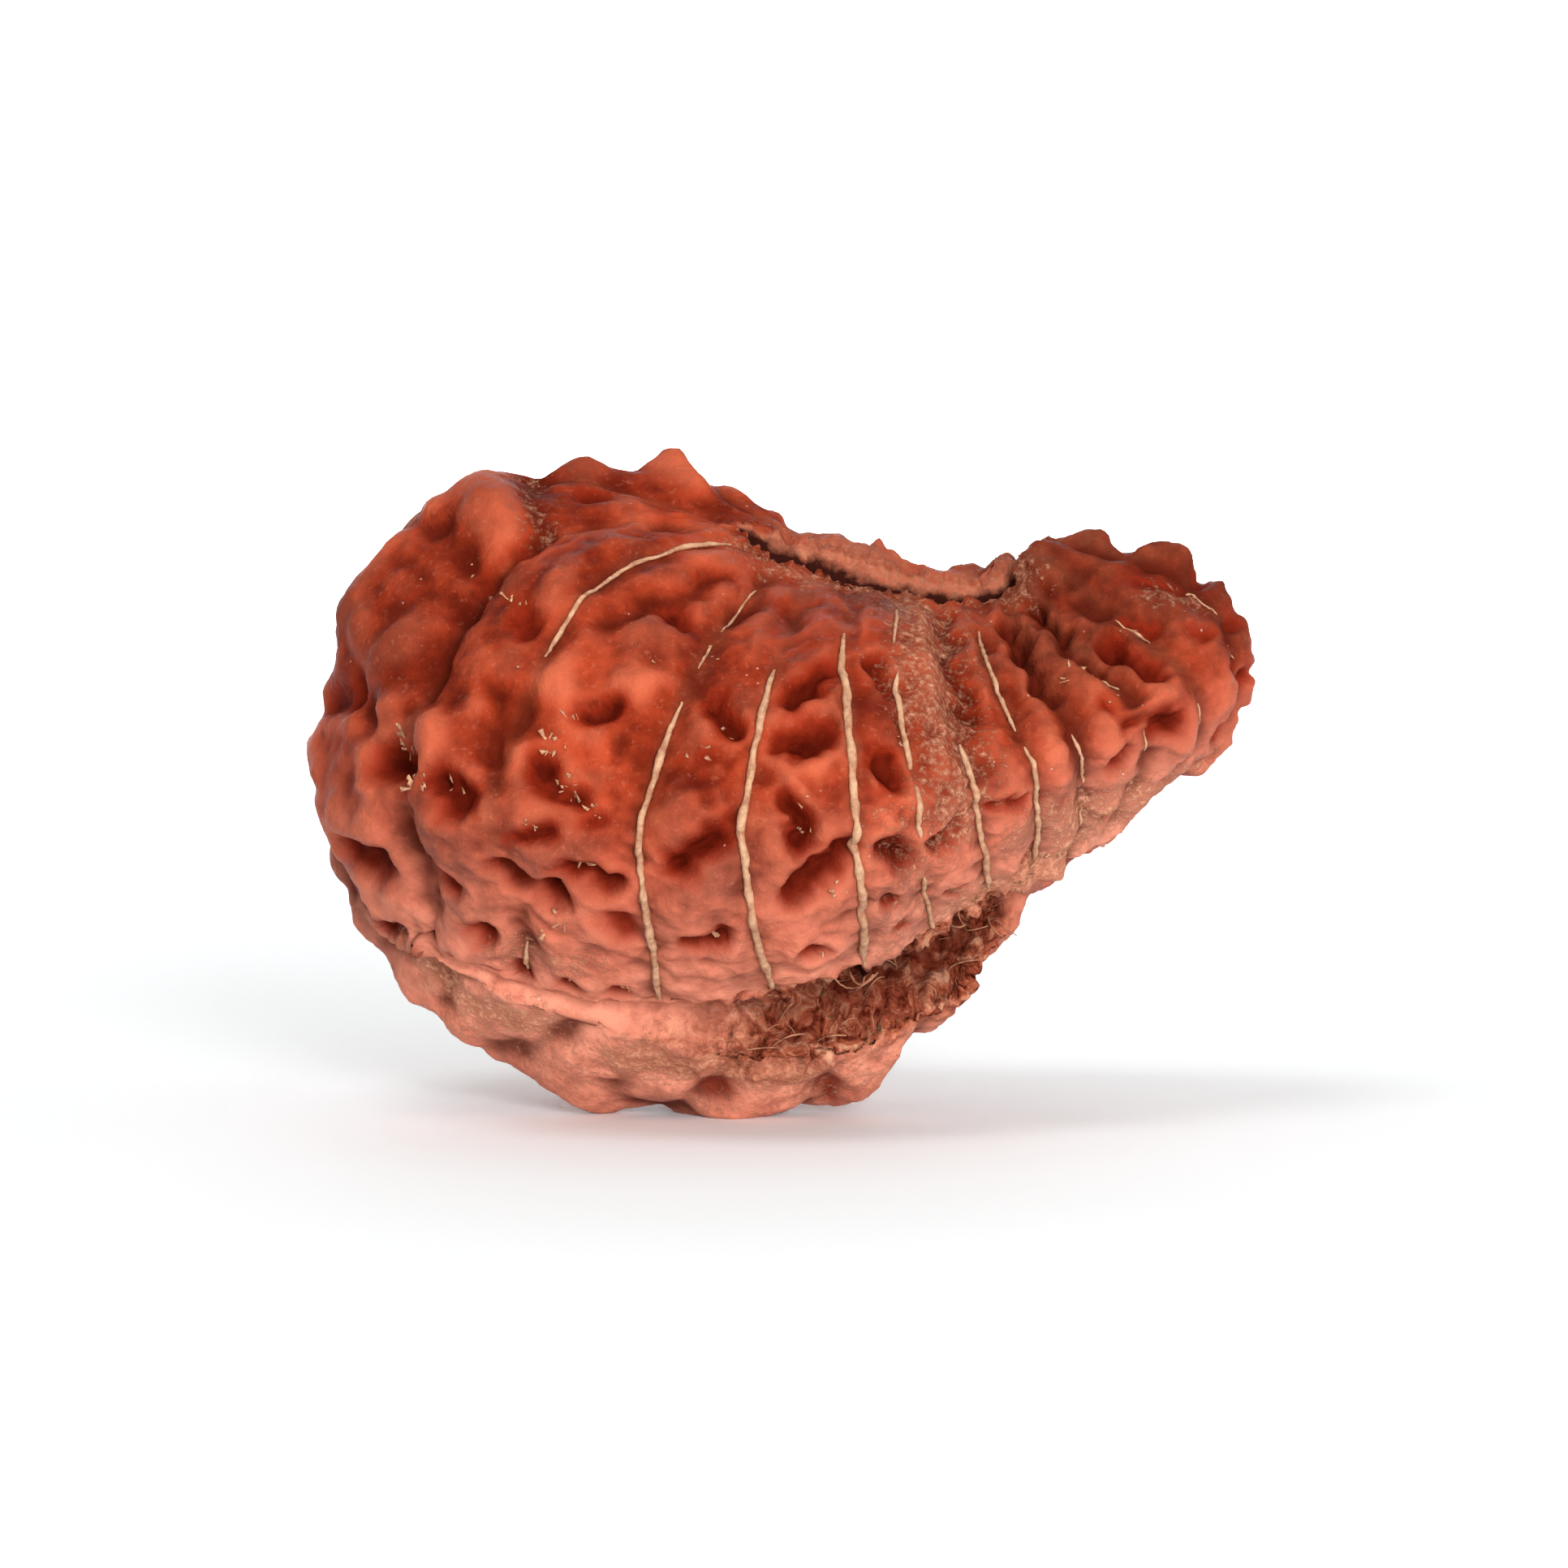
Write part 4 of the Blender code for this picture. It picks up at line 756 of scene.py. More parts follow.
def onSurface(grid, mukhi, height):
    column = np.interp(np.mod(mukhi, stone["mukhis"]), mukhiAt, np.arange(columns + 1))
    row = stone["wallRows"] + height * stone["bodyRows"]
    if height > 1.0:
        row = stone["wallRows"] + stone["bodyRows"] + (height - 1.0) * stone["wallRows"]
    i = min(int(row), len(grid) - 2)
    j = min(int(column), columns - 1)
    u = row - i
    v = column - j
    return ((1 - u) * ((1 - v) * grid[i, j] + v * grid[i, j + 1])
            + u * ((1 - v) * grid[i + 1, j] + v * grid[i + 1, j + 1]))


def newMaterial(name):
    material = bpy.data.materials.new(name)
    material.use_nodes = True
    return material, material.node_tree, material.node_tree.nodes["Principled BSDF"]


def rampNode(tree, value, stops):
    node = addNode(tree, "ShaderNodeValToRGB", {"Fac": value})
    while len(node.color_ramp.elements) < len(stops):
        node.color_ramp.elements.new(0.5)
    for element, (position, colour) in zip(node.color_ramp.elements, stops):
        element.position = position
        element.color = colour + (1.0,)
    return node.outputs["Color"]


def addBump(tree, shader, height, strength, distance):
    bump = addNode(tree, "ShaderNodeBump", {
        "Height": height, "Strength": strength, "Distance": distance * mm})
    tree.links.new(bump.outputs["Normal"], shader.inputs["Normal"])


shell = {
    "broadSize": 5.0,
    "fineSize": 0.9,
    "dustSize": 0.28,
    "strandSize": 1.1,
    "speckSize": 0.7,
    "speckGroups": 2.2,
    "reds": ((0.0, (0.12, 0.009, 0.003)), (0.45, (0.24, 0.024, 0.007)), (1.0, (0.39, 0.049, 0.017))),
    "mottleDark": (0.11, 0.008, 0.003),
    "mottleLight": (0.52, 0.17, 0.10),
    # Painted shade: dark red in pits and sunk places, and a lighter dark red around pits
    "pitShade": (0.065, 0.004, 0.0012),
    "haloShade": (0.25, 0.019, 0.006),
    # Painted highlight colour on crests
    "crestHighlight": (0.60, 0.15, 0.075),
    "brown": (0.09, 0.013, 0.0055),
    "dust": (0.44, 0.165, 0.095),
    "paleDust": (0.70, 0.36, 0.22),
    "line": (0.34, 0.11, 0.055),
    # Painted bounce light colour
    "bounceLight": (0.72, 0.275, 0.18),
    # Near-black painted shadow in the torn hollow
    "cavityShade": (0.012, 0.0015, 0.001),
    # tornDark is the dark of the torn strands and also the painted shade deep in the hollow
    "tornDark": (0.08, 0.009, 0.004),
    "tornMid": (0.44, 0.11, 0.055),
    "tornLight": (0.76, 0.38, 0.23),
    "slitTop": (0.36, 0.10, 0.055),
    # Painted shade deep in the slit
    "slitShade": (0.03, 0.006, 0.004),
    "speck": (0.85, 0.62, 0.5),
    "specular": 0.08,
    "specularTint": (1.0, 0.45, 0.32),
    "roughness": (0.4, 0.56),
    "mostRoughness": 0.95,
    "bumpStrength": 0.9,
    "bumpDistance": 0.22,
}


def shellMaterial():
    material, tree, shader = newMaterial("nutShell")
    place = tree.nodes.new("ShaderNodeTexCoord").outputs["Object"]

    def attribute(name):
        return addNode(tree, "ShaderNodeAttribute", attribute_name=name).outputs["Fac"]

    def grain(size, detail, roughness=0.55, distortion=0.0):
        return noiseNode(tree, place, 1.0 / (size * mm), detail, roughness, distortion).outputs["Fac"]

    def spread(value, low, high, start=0.0, end=1.0):
        node = addNode(tree, "ShaderNodeMapRange", {
            "Value": value, "From Min": low, "From Max": high, "To Min": start, "To Max": end})
        return node.outputs["Result"]

    # A finish's name in the shell's dictionary may stand for its colour
    def mix(under, over, amount):
        under = shell[under] + (1.0,) if isinstance(under, str) else under
        over = shell[over] + (1.0,) if isinstance(over, str) else over
        inputs = {6: under, 7: over, 0: amount}
        return addNode(tree, "ShaderNodeMix", inputs, data_type="RGBA", clamp_factor=True).outputs[2]

    def times(a, b):
        return mathNode(tree, "MULTIPLY", a, b)

    def plus(a, b):
        return mathNode(tree, "ADD", a, b)

    broad = grain(shell["broadSize"], 2.0)
    fine = grain(shell["fineSize"], 4.0)
    dusting = grain(shell["dustSize"], 5.0, 0.7)

    def ragged(name, amount):
        return plus(attribute(name), times(mathNode(tree, "SUBTRACT", fine, 0.5), amount))

    tone = plus(times(broad, 0.65), times(fine, 0.35))
    colour = rampNode(tree, spread(tone, 0.37, 0.62), shell["reds"])
    colour = mix(colour, "mottleDark", spread(fine, 0.46, 0.3, 0.0, 0.25))
    colour = mix(colour, "mottleLight", spread(dusting, 0.56, 0.74, 0.0, 0.4))
    # Painted highlight on crests
    colour = mix(colour, "crestHighlight", times(attribute("crestHighlight"), spread(broad, 0.35, 0.65, 0.2, 0.55)))
    colour = mix(colour, "brown", times(attribute("brown"), spread(fine, 0.3, 0.7, 0.95, 0.5)))
    # Painted bounce light, pinker low down
    colour = mix(colour, "bounceLight", times(attribute("bounceLight"), spread(fine, 0.3, 0.7, 0.45, 0.95)))
    colour = mix(colour, "line", times(spread(attribute("line"), 0.5, 1.0), times(dusting, 0.35)))
    # Painted shade in sunk places, around pits, and inside pits and grooves
    colour = mix(colour, "pitShade", times(attribute("sunk"), 0.8))
    colour = mix(colour, "haloShade", spread(ragged("haloShade", 0.9), 0.25, 0.85, 0.0, 0.75))
    colour = mix(colour, "pitShade", spread(ragged("pitShade", 0.6), 0.35, 0.95, 0.0, 0.9))

    dustAmount = spread(plus(attribute("dust"), times(spread(dusting, 0.35, 0.65), 0.5)), 0.55, 1.0)
    dustColour = mix("dust", "paleDust", spread(dusting, 0.48, 0.66))
    colour = mix(colour, dustColour, times(dustAmount, 0.75))

    slitColour = mix("slitTop", "dust", spread(dusting, 0.45, 0.65))
    # Painted shade, darker down the slit's walls
    slitColour = mix(slitColour, "slitShade", spread(ragged("slit", 1.3), 0.3, 0.75))
    colour = mix(colour, slitColour, spread(attribute("slit"), 0.02, 0.2))

    strands = grain(shell["strandSize"], 6.0, 0.72, 1.2)
    tornStops = ((0.0, shell["tornDark"]), (0.5, shell["tornMid"]), (1.0, shell["tornLight"]))
    tornColour = rampNode(tree, spread(strands, 0.38, 0.64), tornStops)
    # Painted shade, darker deeper in the hollow
    tornColour = mix(tornColour, "tornDark", times(attribute("deepShade"), spread(fine, 0.35, 0.6, 1.0, 0.6)))
    # Painted shadow at the hollow's deepest spot
    tornColour = mix(tornColour, "cavityShade", attribute("cavityShade"))
    colour = mix(colour, tornColour, attribute("torn"))

    specks = addNode(tree, "ShaderNodeTexVoronoi", {
        "Vector": place, "Scale": 1.0 / (shell["speckSize"] * mm), "Randomness": 1.0})
    speckAmount = spread(plus(specks.outputs["Distance"], times(dusting, 0.2)), 0.19, 0.13)
    chosen = spread(grain(shell["speckGroups"], 1.0), 0.6, 0.64)
    colour = mix(colour, "speck", times(times(speckAmount, chosen), 0.55))
    tree.links.new(colour, shader.inputs["Base Color"])

    rough = plus(spread(fine, 0.3, 0.7, *shell["roughness"]), times(dustAmount, 0.3))
    rough = plus(rough, times(attribute("sunk"), 0.25))
    rough = plus(rough, times(mathNode(tree, "MAXIMUM", attribute("torn"), attribute("slit")), 0.5))
    tree.links.new(mathNode(tree, "MINIMUM", rough, shell["mostRoughness"]), shader.inputs["Roughness"])
    shader.inputs["Specular IOR Level"].default_value = shell["specular"]
    shader.inputs["Specular Tint"].default_value = shell["specularTint"] + (1.0,)

    height = plus(times(fine, 0.8), times(dusting, 0.34))
    height = plus(height, times(times(attribute("torn"), strands), 1.4))
    height = plus(height, times(times(dustAmount, dusting), 0.5))
    addBump(tree, shader, height, shell["bumpStrength"], shell["bumpDistance"])
    return material


# Dried pulp, for the threads, the flecks and the fibres
def fibreMaterial(name, look):
    material, tree, shader = newMaterial(name)
    place = tree.nodes.new("ShaderNodeTexCoord").outputs["Object"]
    grain = noiseNode(tree, place, 1.0 / (look["grainSize"] * mm), 4.0, 0.7).outputs["Fac"]
    stops = ((0.36, look["dark"]), (0.62, look["light"]))
    tree.links.new(rampNode(tree, grain, stops), shader.inputs["Base Color"])
    addBump(tree, shader, grain, 0.6, 0.1)
    shader.inputs["Roughness"].default_value = 0.8
    return material


nutShell = shellMaterial()
print("shell finish made")


# Grain all over, coarse shreds and crumbs where the hollow is torn, and none on the flat spot
def grainTree():
    tree, given = newTree("nutGrain", (
        "Grain Size", "Grain Height", "Torn Size", "Torn Height", "Crumb Size", "Crumb Height"))
    place = tree.nodes.new("GeometryNodeInputPosition").outputs[0]
    normal = tree.nodes.new("GeometryNodeInputNormal").outputs["Normal"]

    def times(a, b):
        return mathNode(tree, "MULTIPLY", a, b)

    def rough(size, detail, distortion):
        texture = noiseNode(tree, place, mathNode(tree, "DIVIDE", 1.0, size), detail, 0.6, distortion)
        return mathNode(tree, "SUBTRACT", texture.outputs["Fac"], 0.5)

    grain = times(rough(given["Grain Size"], 3.0, 0.0), given["Grain Height"])
    shreds = times(rough(given["Torn Size"], 4.0, 1.2), given["Torn Height"])
    cells = addNode(tree, "ShaderNodeTexVoronoi", {
        "Vector": place, "Scale": mathNode(tree, "DIVIDE", 1.0, given["Crumb Size"]), "Randomness": 1.0})
    crumbs = times(mathNode(tree, "SUBTRACT", 0.5, cells.outputs["Distance"]), given["Crumb Height"])
    torn = times(mathNode(tree, "ADD", shreds, crumbs), painted(tree, "torn"))
    inPits = times(painted(tree, "sunk"), 1.0 - stone["grainInPits"])
    keep = mathNode(tree, "SUBTRACT", 1.0, mathNode(tree, "MAXIMUM", painted(tree, "resting"), inPits))
    shift = times(mathNode(tree, "ADD", grain, torn), keep)
    moved = addNode(tree, "GeometryNodeSetPosition", {
        "Geometry": given["Geometry"], "Offset": vectorNode(tree, "SCALE", normal, shift)})
    return finishTree(tree, shadedSmooth(tree, moved.outputs["Geometry"]), nutShell)


# The two floor rows are shared, so their rear half takes the front half's points
def makeStone():
    rows = len(surface)
    pointAt = np.zeros((rows, columns), int)
    kept = []
    for row in range(rows):
        for column in range(columns):
            if row in (0, rows - 1) and column > columns // 2:
                pointAt[row, column] = pointAt[row, columns - column]
            else:
                pointAt[row, column] = len(kept)
                kept.append((row, column))
    faces = []
    for row in range(rows - 1):
        for column in range(columns):
            following = (column + 1) % columns
            corners = (pointAt[row, column], pointAt[row + 1, column],
                       pointAt[row + 1, following], pointAt[row, following])
            faces.append(tuple(int(corner) for corner in dict.fromkeys(corners)))
    at = tuple(np.array(kept).T)
    piece = meshPiece("rudrakshaStone", surface[at] * mm, faces=faces)
    for name, values in maps.items():
        paintOn(piece, name, values[at])
    paintOn(piece, "resting", (surface[at][:, 2] < stone["restingHeight"]).astype(float))
    return piece


stonePiece = makeStone()
runTree(stonePiece, grainTree(), {
    "Grain Size": stone["grainSize"] * mm, "Grain Height": stone["grainHeight"] * mm,
    "Torn Size": stone["tornSize"] * mm, "Torn Height": stone["tornHeight"] * mm,
    "Crumb Size": stone["crumbSize"] * mm, "Crumb Height": stone["crumbHeight"] * mm})
insideBox(stonePiece)
print("stone meshed:", len(stonePiece.data.polygons), "faces")

threads = {
    "seed": 5,
    "step": 0.12,
    "stepsInHeight": 130,
    "sides": 8,
    "sink": 0.78,  # share of the half width
    "fuzzSize": 0.3,
    "fuzz": 0.13,
    "thinning": 0.76,
    "sway": 0.022,
    "waver": 0.5,
    "swaysInHeight": 9.0,
    "waversInHeight": 30.0,
    "beginTaper": (7.0, 0.35),  # how fast the ends widen, and their least share
    "endTaper": (9.0, 0.5),
    "dark": (0.32, 0.13, 0.065),
    "light": (0.54, 0.32, 0.185),
    "grainSize": 0.5,
    # (mukhi line, from height, to height, half width)
    "lines": (
        (1, 0.03, 0.33, 0.12), (1, 0.9, 1.0, 0.13), (2, 0.06, 0.16, 0.06), (2, 0.19, 0.24, 0.08),
        (2, 0.3, 1.0, 0.18), (3, 0.23, 1.0, 0.2), (4, 0.18, 1.0, 0.22), (5, 0.08, 0.2, 0.09),
        (5, 0.27, 0.46, 0.15), (5, 0.5, 0.64, 0.15), (5, 0.78, 1.0, 0.15), (6, 0.42, 0.96, 0.17),
        (7, 0.1, 0.42, 0.12), (7, 0.48, 0.95, 0.15), (8, 0.48, 0.76, 0.1), (8, 0.85, 0.9, 0.08),
        (9, 0.3, 0.4, 0.06), (9, 0.6, 0.72, 0.05), (10, 0.22, 0.32, 0.07), (10, 0.57, 0.66, 0.05),
        (11, 0.28, 0.36, 0.05)),
    # Runs behind, which the photo doesn't show
    "behindLines": (12, 13, 14, 15, 16, 17, 18, 19, 20),
    "behindBegin": (0.15, 0.3),
    "behindEnd": 0.62,
    "behindLengths": (0.08, 0.3),
    "behindGaps": (0.05, 0.25),
    "behindHalfWidths": (0.09, 0.16),
}


def threadRuns(chance):
    runs = list(threads["lines"])
    for line in threads["behindLines"]:
        height = chance.uniform(*threads["behindBegin"])
        while height < threads["behindEnd"]:
            length = chance.uniform(*threads["behindLengths"])
            halfWidth = chance.uniform(*threads["behindHalfWidths"])
            runs.append((line, height, min(height + length, 0.95), halfWidth))
            height = height + length + chance.uniform(*threads["behindGaps"])
    return runs


def threadPaths():
    chance = random.Random(threads["seed"])
    places = []
    widths = []
    edges = []
    beginSpeed, beginLeast = threads["beginTaper"]
    endSpeed, endLeast = threads["endTaper"]
    for line, start, end, halfWidth in threadRuns(chance):
        steps = max(6, int((end - start) * threads["stepsInHeight"]))
        wander = chance.uniform(0.0, 100.0)
        for step in range(steps + 1):
            part = step / steps
            height = start + (end - start) * part
            drift = lineDrift.get(line, 0.0) * math.sin(math.pi * height)
            sway = noise.noise(Vector((wander, height * threads["swaysInHeight"], 0.0)))
            mukhi = line + drift + threads["sway"] * sway
            taper = min(1.0, beginSpeed * part + beginLeast, endSpeed * (1.0 - part) + endLeast)
            waver = threads["waver"] * noise.noise(Vector((wander, height * threads["waversInHeight"], 5.0)))
            width = threads["thinning"] * halfWidth * taper * (1.0 + waver)
            sunk = onSurface(surfaceNormals, mukhi, height) * width * threads["sink"]
            if step > 0:
                edges.append((len(places) - 1, len(places)))
            places.append((onSurface(surface, mukhi, height) - sunk) * mm)
            widths.append(width * mm)
    return places, edges, widths


def threadTree():
    tree, given = newTree("threads", ("Step", "Fuzz Size", "Fuzz"), ("Sides",))
    curve = addNode(tree, "GeometryNodeMeshToCurve", {"Mesh": given["Geometry"]})
    even = addNode(tree, "GeometryNodeResampleCurve", mode="LENGTH", inputs={
        "Curve": curve.outputs["Curve"], "Length": given["Step"]})
    profile = addNode(tree, "GeometryNodeCurvePrimitiveCircle", {"Resolution": given["Sides"], "Radius": 1.0})
    tube = addNode(tree, "GeometryNodeCurveToMesh", {
        "Curve": even.outputs["Curve"], "Profile Curve": profile.outputs["Curve"],
        "Scale": painted(tree, "halfWidth"), "Fill Caps": True})
    place = tree.nodes.new("GeometryNodeInputPosition").outputs[0]
    fuzz = noiseNode(tree, place, mathNode(tree, "DIVIDE", 1.0, given["Fuzz Size"]), 3.0, 0.7)
    pull = vectorNode(tree, "SUBTRACT", fuzz.outputs["Color"], (0.5, 0.5, 0.5))
    fuzzy = addNode(tree, "GeometryNodeSetPosition", {
        "Geometry": tube.outputs["Mesh"], "Offset": vectorNode(tree, "SCALE", pull, given["Fuzz"])})
    paleThread = fibreMaterial("paleThread", threads)
    return finishTree(tree, shadedSmooth(tree, fuzzy.outputs["Geometry"]), paleThread)


threadPlaces, threadEdges, threadWidths = threadPaths()
threadPiece = meshPiece("paleThreads", threadPlaces, edges=threadEdges)
paintOn(threadPiece, "halfWidth", threadWidths)
runTree(threadPiece, threadTree(), {
    "Step": threads["step"] * mm, "Sides": threads["sides"],
    "Fuzz Size": threads["fuzzSize"] * mm, "Fuzz": threads["fuzz"] * mm})
insideBox(threadPiece)
print("threads laid:", len(threadPiece.data.polygons), "faces")

flecks = {
    "seed": 9,
    "thickness": 0.17,
    "flatness": 0.28,
    "tear": 1.1,
    "share": 0.6,  # of the shreds that the clusters give
    "sizes": (0.35, 0.75),
    "sizeBySpread": (0.6, 0.7),
    "scatter": (0.28, 0.2),  # along the mukhis, and down them
    "lift": 0.1,  # share of a shred's size
    "tip": 0.35,  # how far a shred leans, in radians
    "bend": ((-0.9, 0.0, -0.25), (0.1, 0.45, 0.8), (0.8, -0.3, 0.0)),
    "leastStretch": (0.7, 0.5, 0.4),
    "mostStretch": (1.6, 1.3, 1.0),
    "dark": (0.28, 0.095, 0.04),
    "light": (0.56, 0.32, 0.18),
    "grainSize": 0.3,
    # (mukhi, height, spread, shreds)
    "clusters": (
        (21.95, 0.49, 0.75, 16), (0.3, 0.545, 0.5, 10), (20.85, 0.32, 0.35, 8), (21.75, 0.28, 0.25, 5),
        (0.0, 0.3, 0.3, 5), (0.45, 0.29, 0.3, 5), (0.6, 0.515, 0.3, 5), (1.4, 0.375, 0.45, 8),
        (1.3, 0.415, 0.5, 10), (1.5, 0.465, 0.5, 12), (1.68, 0.49, 0.3, 6), (1.3, 0.545, 0.3, 6),
        (1.62, 0.635, 0.6, 10), (1.1, 0.675, 0.3, 5), (1.35, 0.78, 0.25, 5), (1.2, 0.82, 0.25, 5),
        (2.05, 0.2, 0.3, 5), (1.75, 0.27, 0.25, 4), (2.4, 0.375, 0.4, 9), (2.5, 0.325, 0.25, 4),
        (3.3, 0.47, 0.22, 5), (3.55, 0.47, 0.2, 4), (3.4, 0.53, 0.2, 4), (3.55, 0.555, 0.2, 4),
        (3.75, 0.71, 0.25, 4), (3.45, 0.895, 0.45, 10), (2.5, 0.815, 0.45, 9), (1.72, 0.97, 0.35, 7),
        (1.4, 0.97, 0.3, 5), (4.75, 0.38, 0.2, 4), (8.4, 0.33, 0.3, 5), (8.75, 0.43, 0.2, 4),
        (9.95, 0.25, 0.25, 5), (10.75, 0.28, 0.35, 7), (10.85, 0.45, 0.25, 4), (6.6, 0.96, 0.4, 12),
        (7.3, 0.93, 0.35, 9), (5.7, 0.97, 0.4, 9), (13.5, 0.5, 0.3, 6), (15.4, 0.4, 0.3, 6),
        (16.5, 0.6, 0.35, 6), (18.4, 0.45, 0.4, 7), (19.5, 0.6, 0.4, 7), (12.6, 0.3, 0.3, 5)),
}


# Millimetres that one mukhi, or the whole height, measures at a place
def lengthOf(mukhi, height, mukhiStep=0.0, heightStep=0.0):
    step = (smoothStone(mukhi + mukhiStep, height + heightStep)
            - smoothStone(mukhi - mukhiStep, height - heightStep))
    return np.linalg.norm(step) / (2 * (mukhiStep + heightStep))


def fleckPoints():
    chance = random.Random(flecks["seed"])
    places = []
    sizes = []
    facings = []
    turns = []
    base, bySpread = flecks["sizeBySpread"]
    for mukhi, height, reach, shreds in flecks["clusters"]:
        width = lengthOf(mukhi, height, mukhiStep=0.1)
        drop = lengthOf(mukhi, height, heightStep=0.01)
        for _ in range(round(flecks["share"] * shreds)):
            sideways = chance.gauss(0.0, flecks["scatter"][0]) * reach / width
            downwards = chance.gauss(0.0, flecks["scatter"][1]) * reach / drop
            at = (mukhi + sideways, min(max(height + downwards, 0.0), 1.1))
            size = chance.uniform(*flecks["sizes"]) * (base + bySpread * reach)
            facing = onSurface(surfaceNormals, *at)
            places.append((onSurface(surface, *at) + facing * size * flecks["lift"]) * mm)
            sizes.append(size * mm)
            facings.append(facing)
            tips = [chance.uniform(-flecks["tip"], flecks["tip"]) for _ in range(2)]
            turns.append((*tips, chance.uniform(0.0, math.tau)))
    return places, sizes, facings, turns


# One bent shred, torn at its edges, on each point
def fleckTree():
    tree, given = newTree("flecks", ("Thickness", "Flatness", "Tear"), ("Seed",))
    start, middle, end = flecks["bend"]
    strip = addNode(tree, "GeometryNodeCurveQuadraticBezier", {
        "Resolution": 4, "Start": start, "Middle": middle, "End": end})
    profile = addNode(tree, "GeometryNodeCurvePrimitiveCircle", {"Resolution": 5, "Radius": 1.0})
    flatScale = addNode(tree, "ShaderNodeCombineXYZ", {"X": 1.0, "Y": given["Flatness"], "Z": 1.0})
    flat = addNode(tree, "GeometryNodeTransform", {
        "Geometry": profile.outputs["Curve"], "Scale": flatScale.outputs["Vector"]})
    tube = addNode(tree, "GeometryNodeCurveToMesh", {
        "Curve": strip.outputs["Curve"], "Profile Curve": flat.outputs["Geometry"],
        "Scale": given["Thickness"], "Fill Caps": True})
    place = tree.nodes.new("GeometryNodeInputPosition").outputs[0]
    tear = noiseNode(tree, place, 1.4, 3.0, 0.8).outputs["Color"]
    tear = vectorNode(tree, "SUBTRACT", tear, (0.5, 0.5, 0.5))
    torn = addNode(tree, "GeometryNodeSetPosition", {
        "Geometry": tube.outputs["Mesh"], "Offset": vectorNode(tree, "SCALE", tear, given["Tear"])})
    upright = addNode(tree, "FunctionNodeAlignRotationToVector", axis="Z", inputs={
        "Vector": painted(tree, "facing", "FLOAT_VECTOR")})
    turn = addNode(tree, "FunctionNodeEulerToRotation", {"Euler": painted(tree, "turn", "FLOAT_VECTOR")})
    spun = addNode(tree, "FunctionNodeRotateRotation", rotation_space="LOCAL", inputs={
        "Rotation": upright.outputs["Rotation"], "Rotate By": turn.outputs["Rotation"]})
    stretch = addNode(tree, "FunctionNodeRandomValue", data_type="FLOAT_VECTOR", inputs={
        "Min": flecks["leastStretch"], "Max": flecks["mostStretch"], "Seed": given["Seed"]})
    points = addNode(tree, "GeometryNodeMeshToPoints", {"Mesh": given["Geometry"]})
    strewn = addNode(tree, "GeometryNodeInstanceOnPoints", {
        "Points": points.outputs["Points"], "Instance": torn.outputs["Geometry"],
        "Rotation": spun.outputs["Rotation"],
        "Scale": vectorNode(tree, "SCALE", stretch.outputs["Value"], painted(tree, "size"))})
    paleFleck = fibreMaterial("paleFleck", flecks)
    return finishTree(tree, shadedSmooth(tree, strewn.outputs["Instances"]), paleFleck)


fleckPlaces, fleckSizes, fleckFacings, fleckTurns = fleckPoints()
fleckPiece = meshPiece("paleFlecks", fleckPlaces)
paintOn(fleckPiece, "size", fleckSizes)
paintOn(fleckPiece, "facing", fleckFacings, "FLOAT_VECTOR")
paintOn(fleckPiece, "turn", fleckTurns, "FLOAT_VECTOR")
runTree(fleckPiece, fleckTree(), {
    "Seed": flecks["seed"], "Thickness": flecks["thickness"],
    "Flatness": flecks["flatness"], "Tear": flecks["tear"]})
insideBox(fleckPiece)
print("flecks strewn:", len(fleckPiece.data.polygons), "faces")

fibres = {
    "seed": 14,
    "density": 0.3,
    "length": 1.5,
    "halfWidth": 0.035,
    "shareInSlit": 0.3,
    # Shares of the length
    "shortest": 0.35,
    "longest": 1.3,
    "bend": ((-0.5, 0.0, -0.08), (0.1, 0.25, 0.45), (0.5, -0.1, -0.02)),
    "leastTurn": (-0.7, -0.7, 0.0),
    "mostTurn": (0.7, 0.7, 6.28),
    "dark": (0.12, 0.03, 0.014),
    "light": (0.46, 0.20, 0.10),
    "grainSize": 0.8,
}


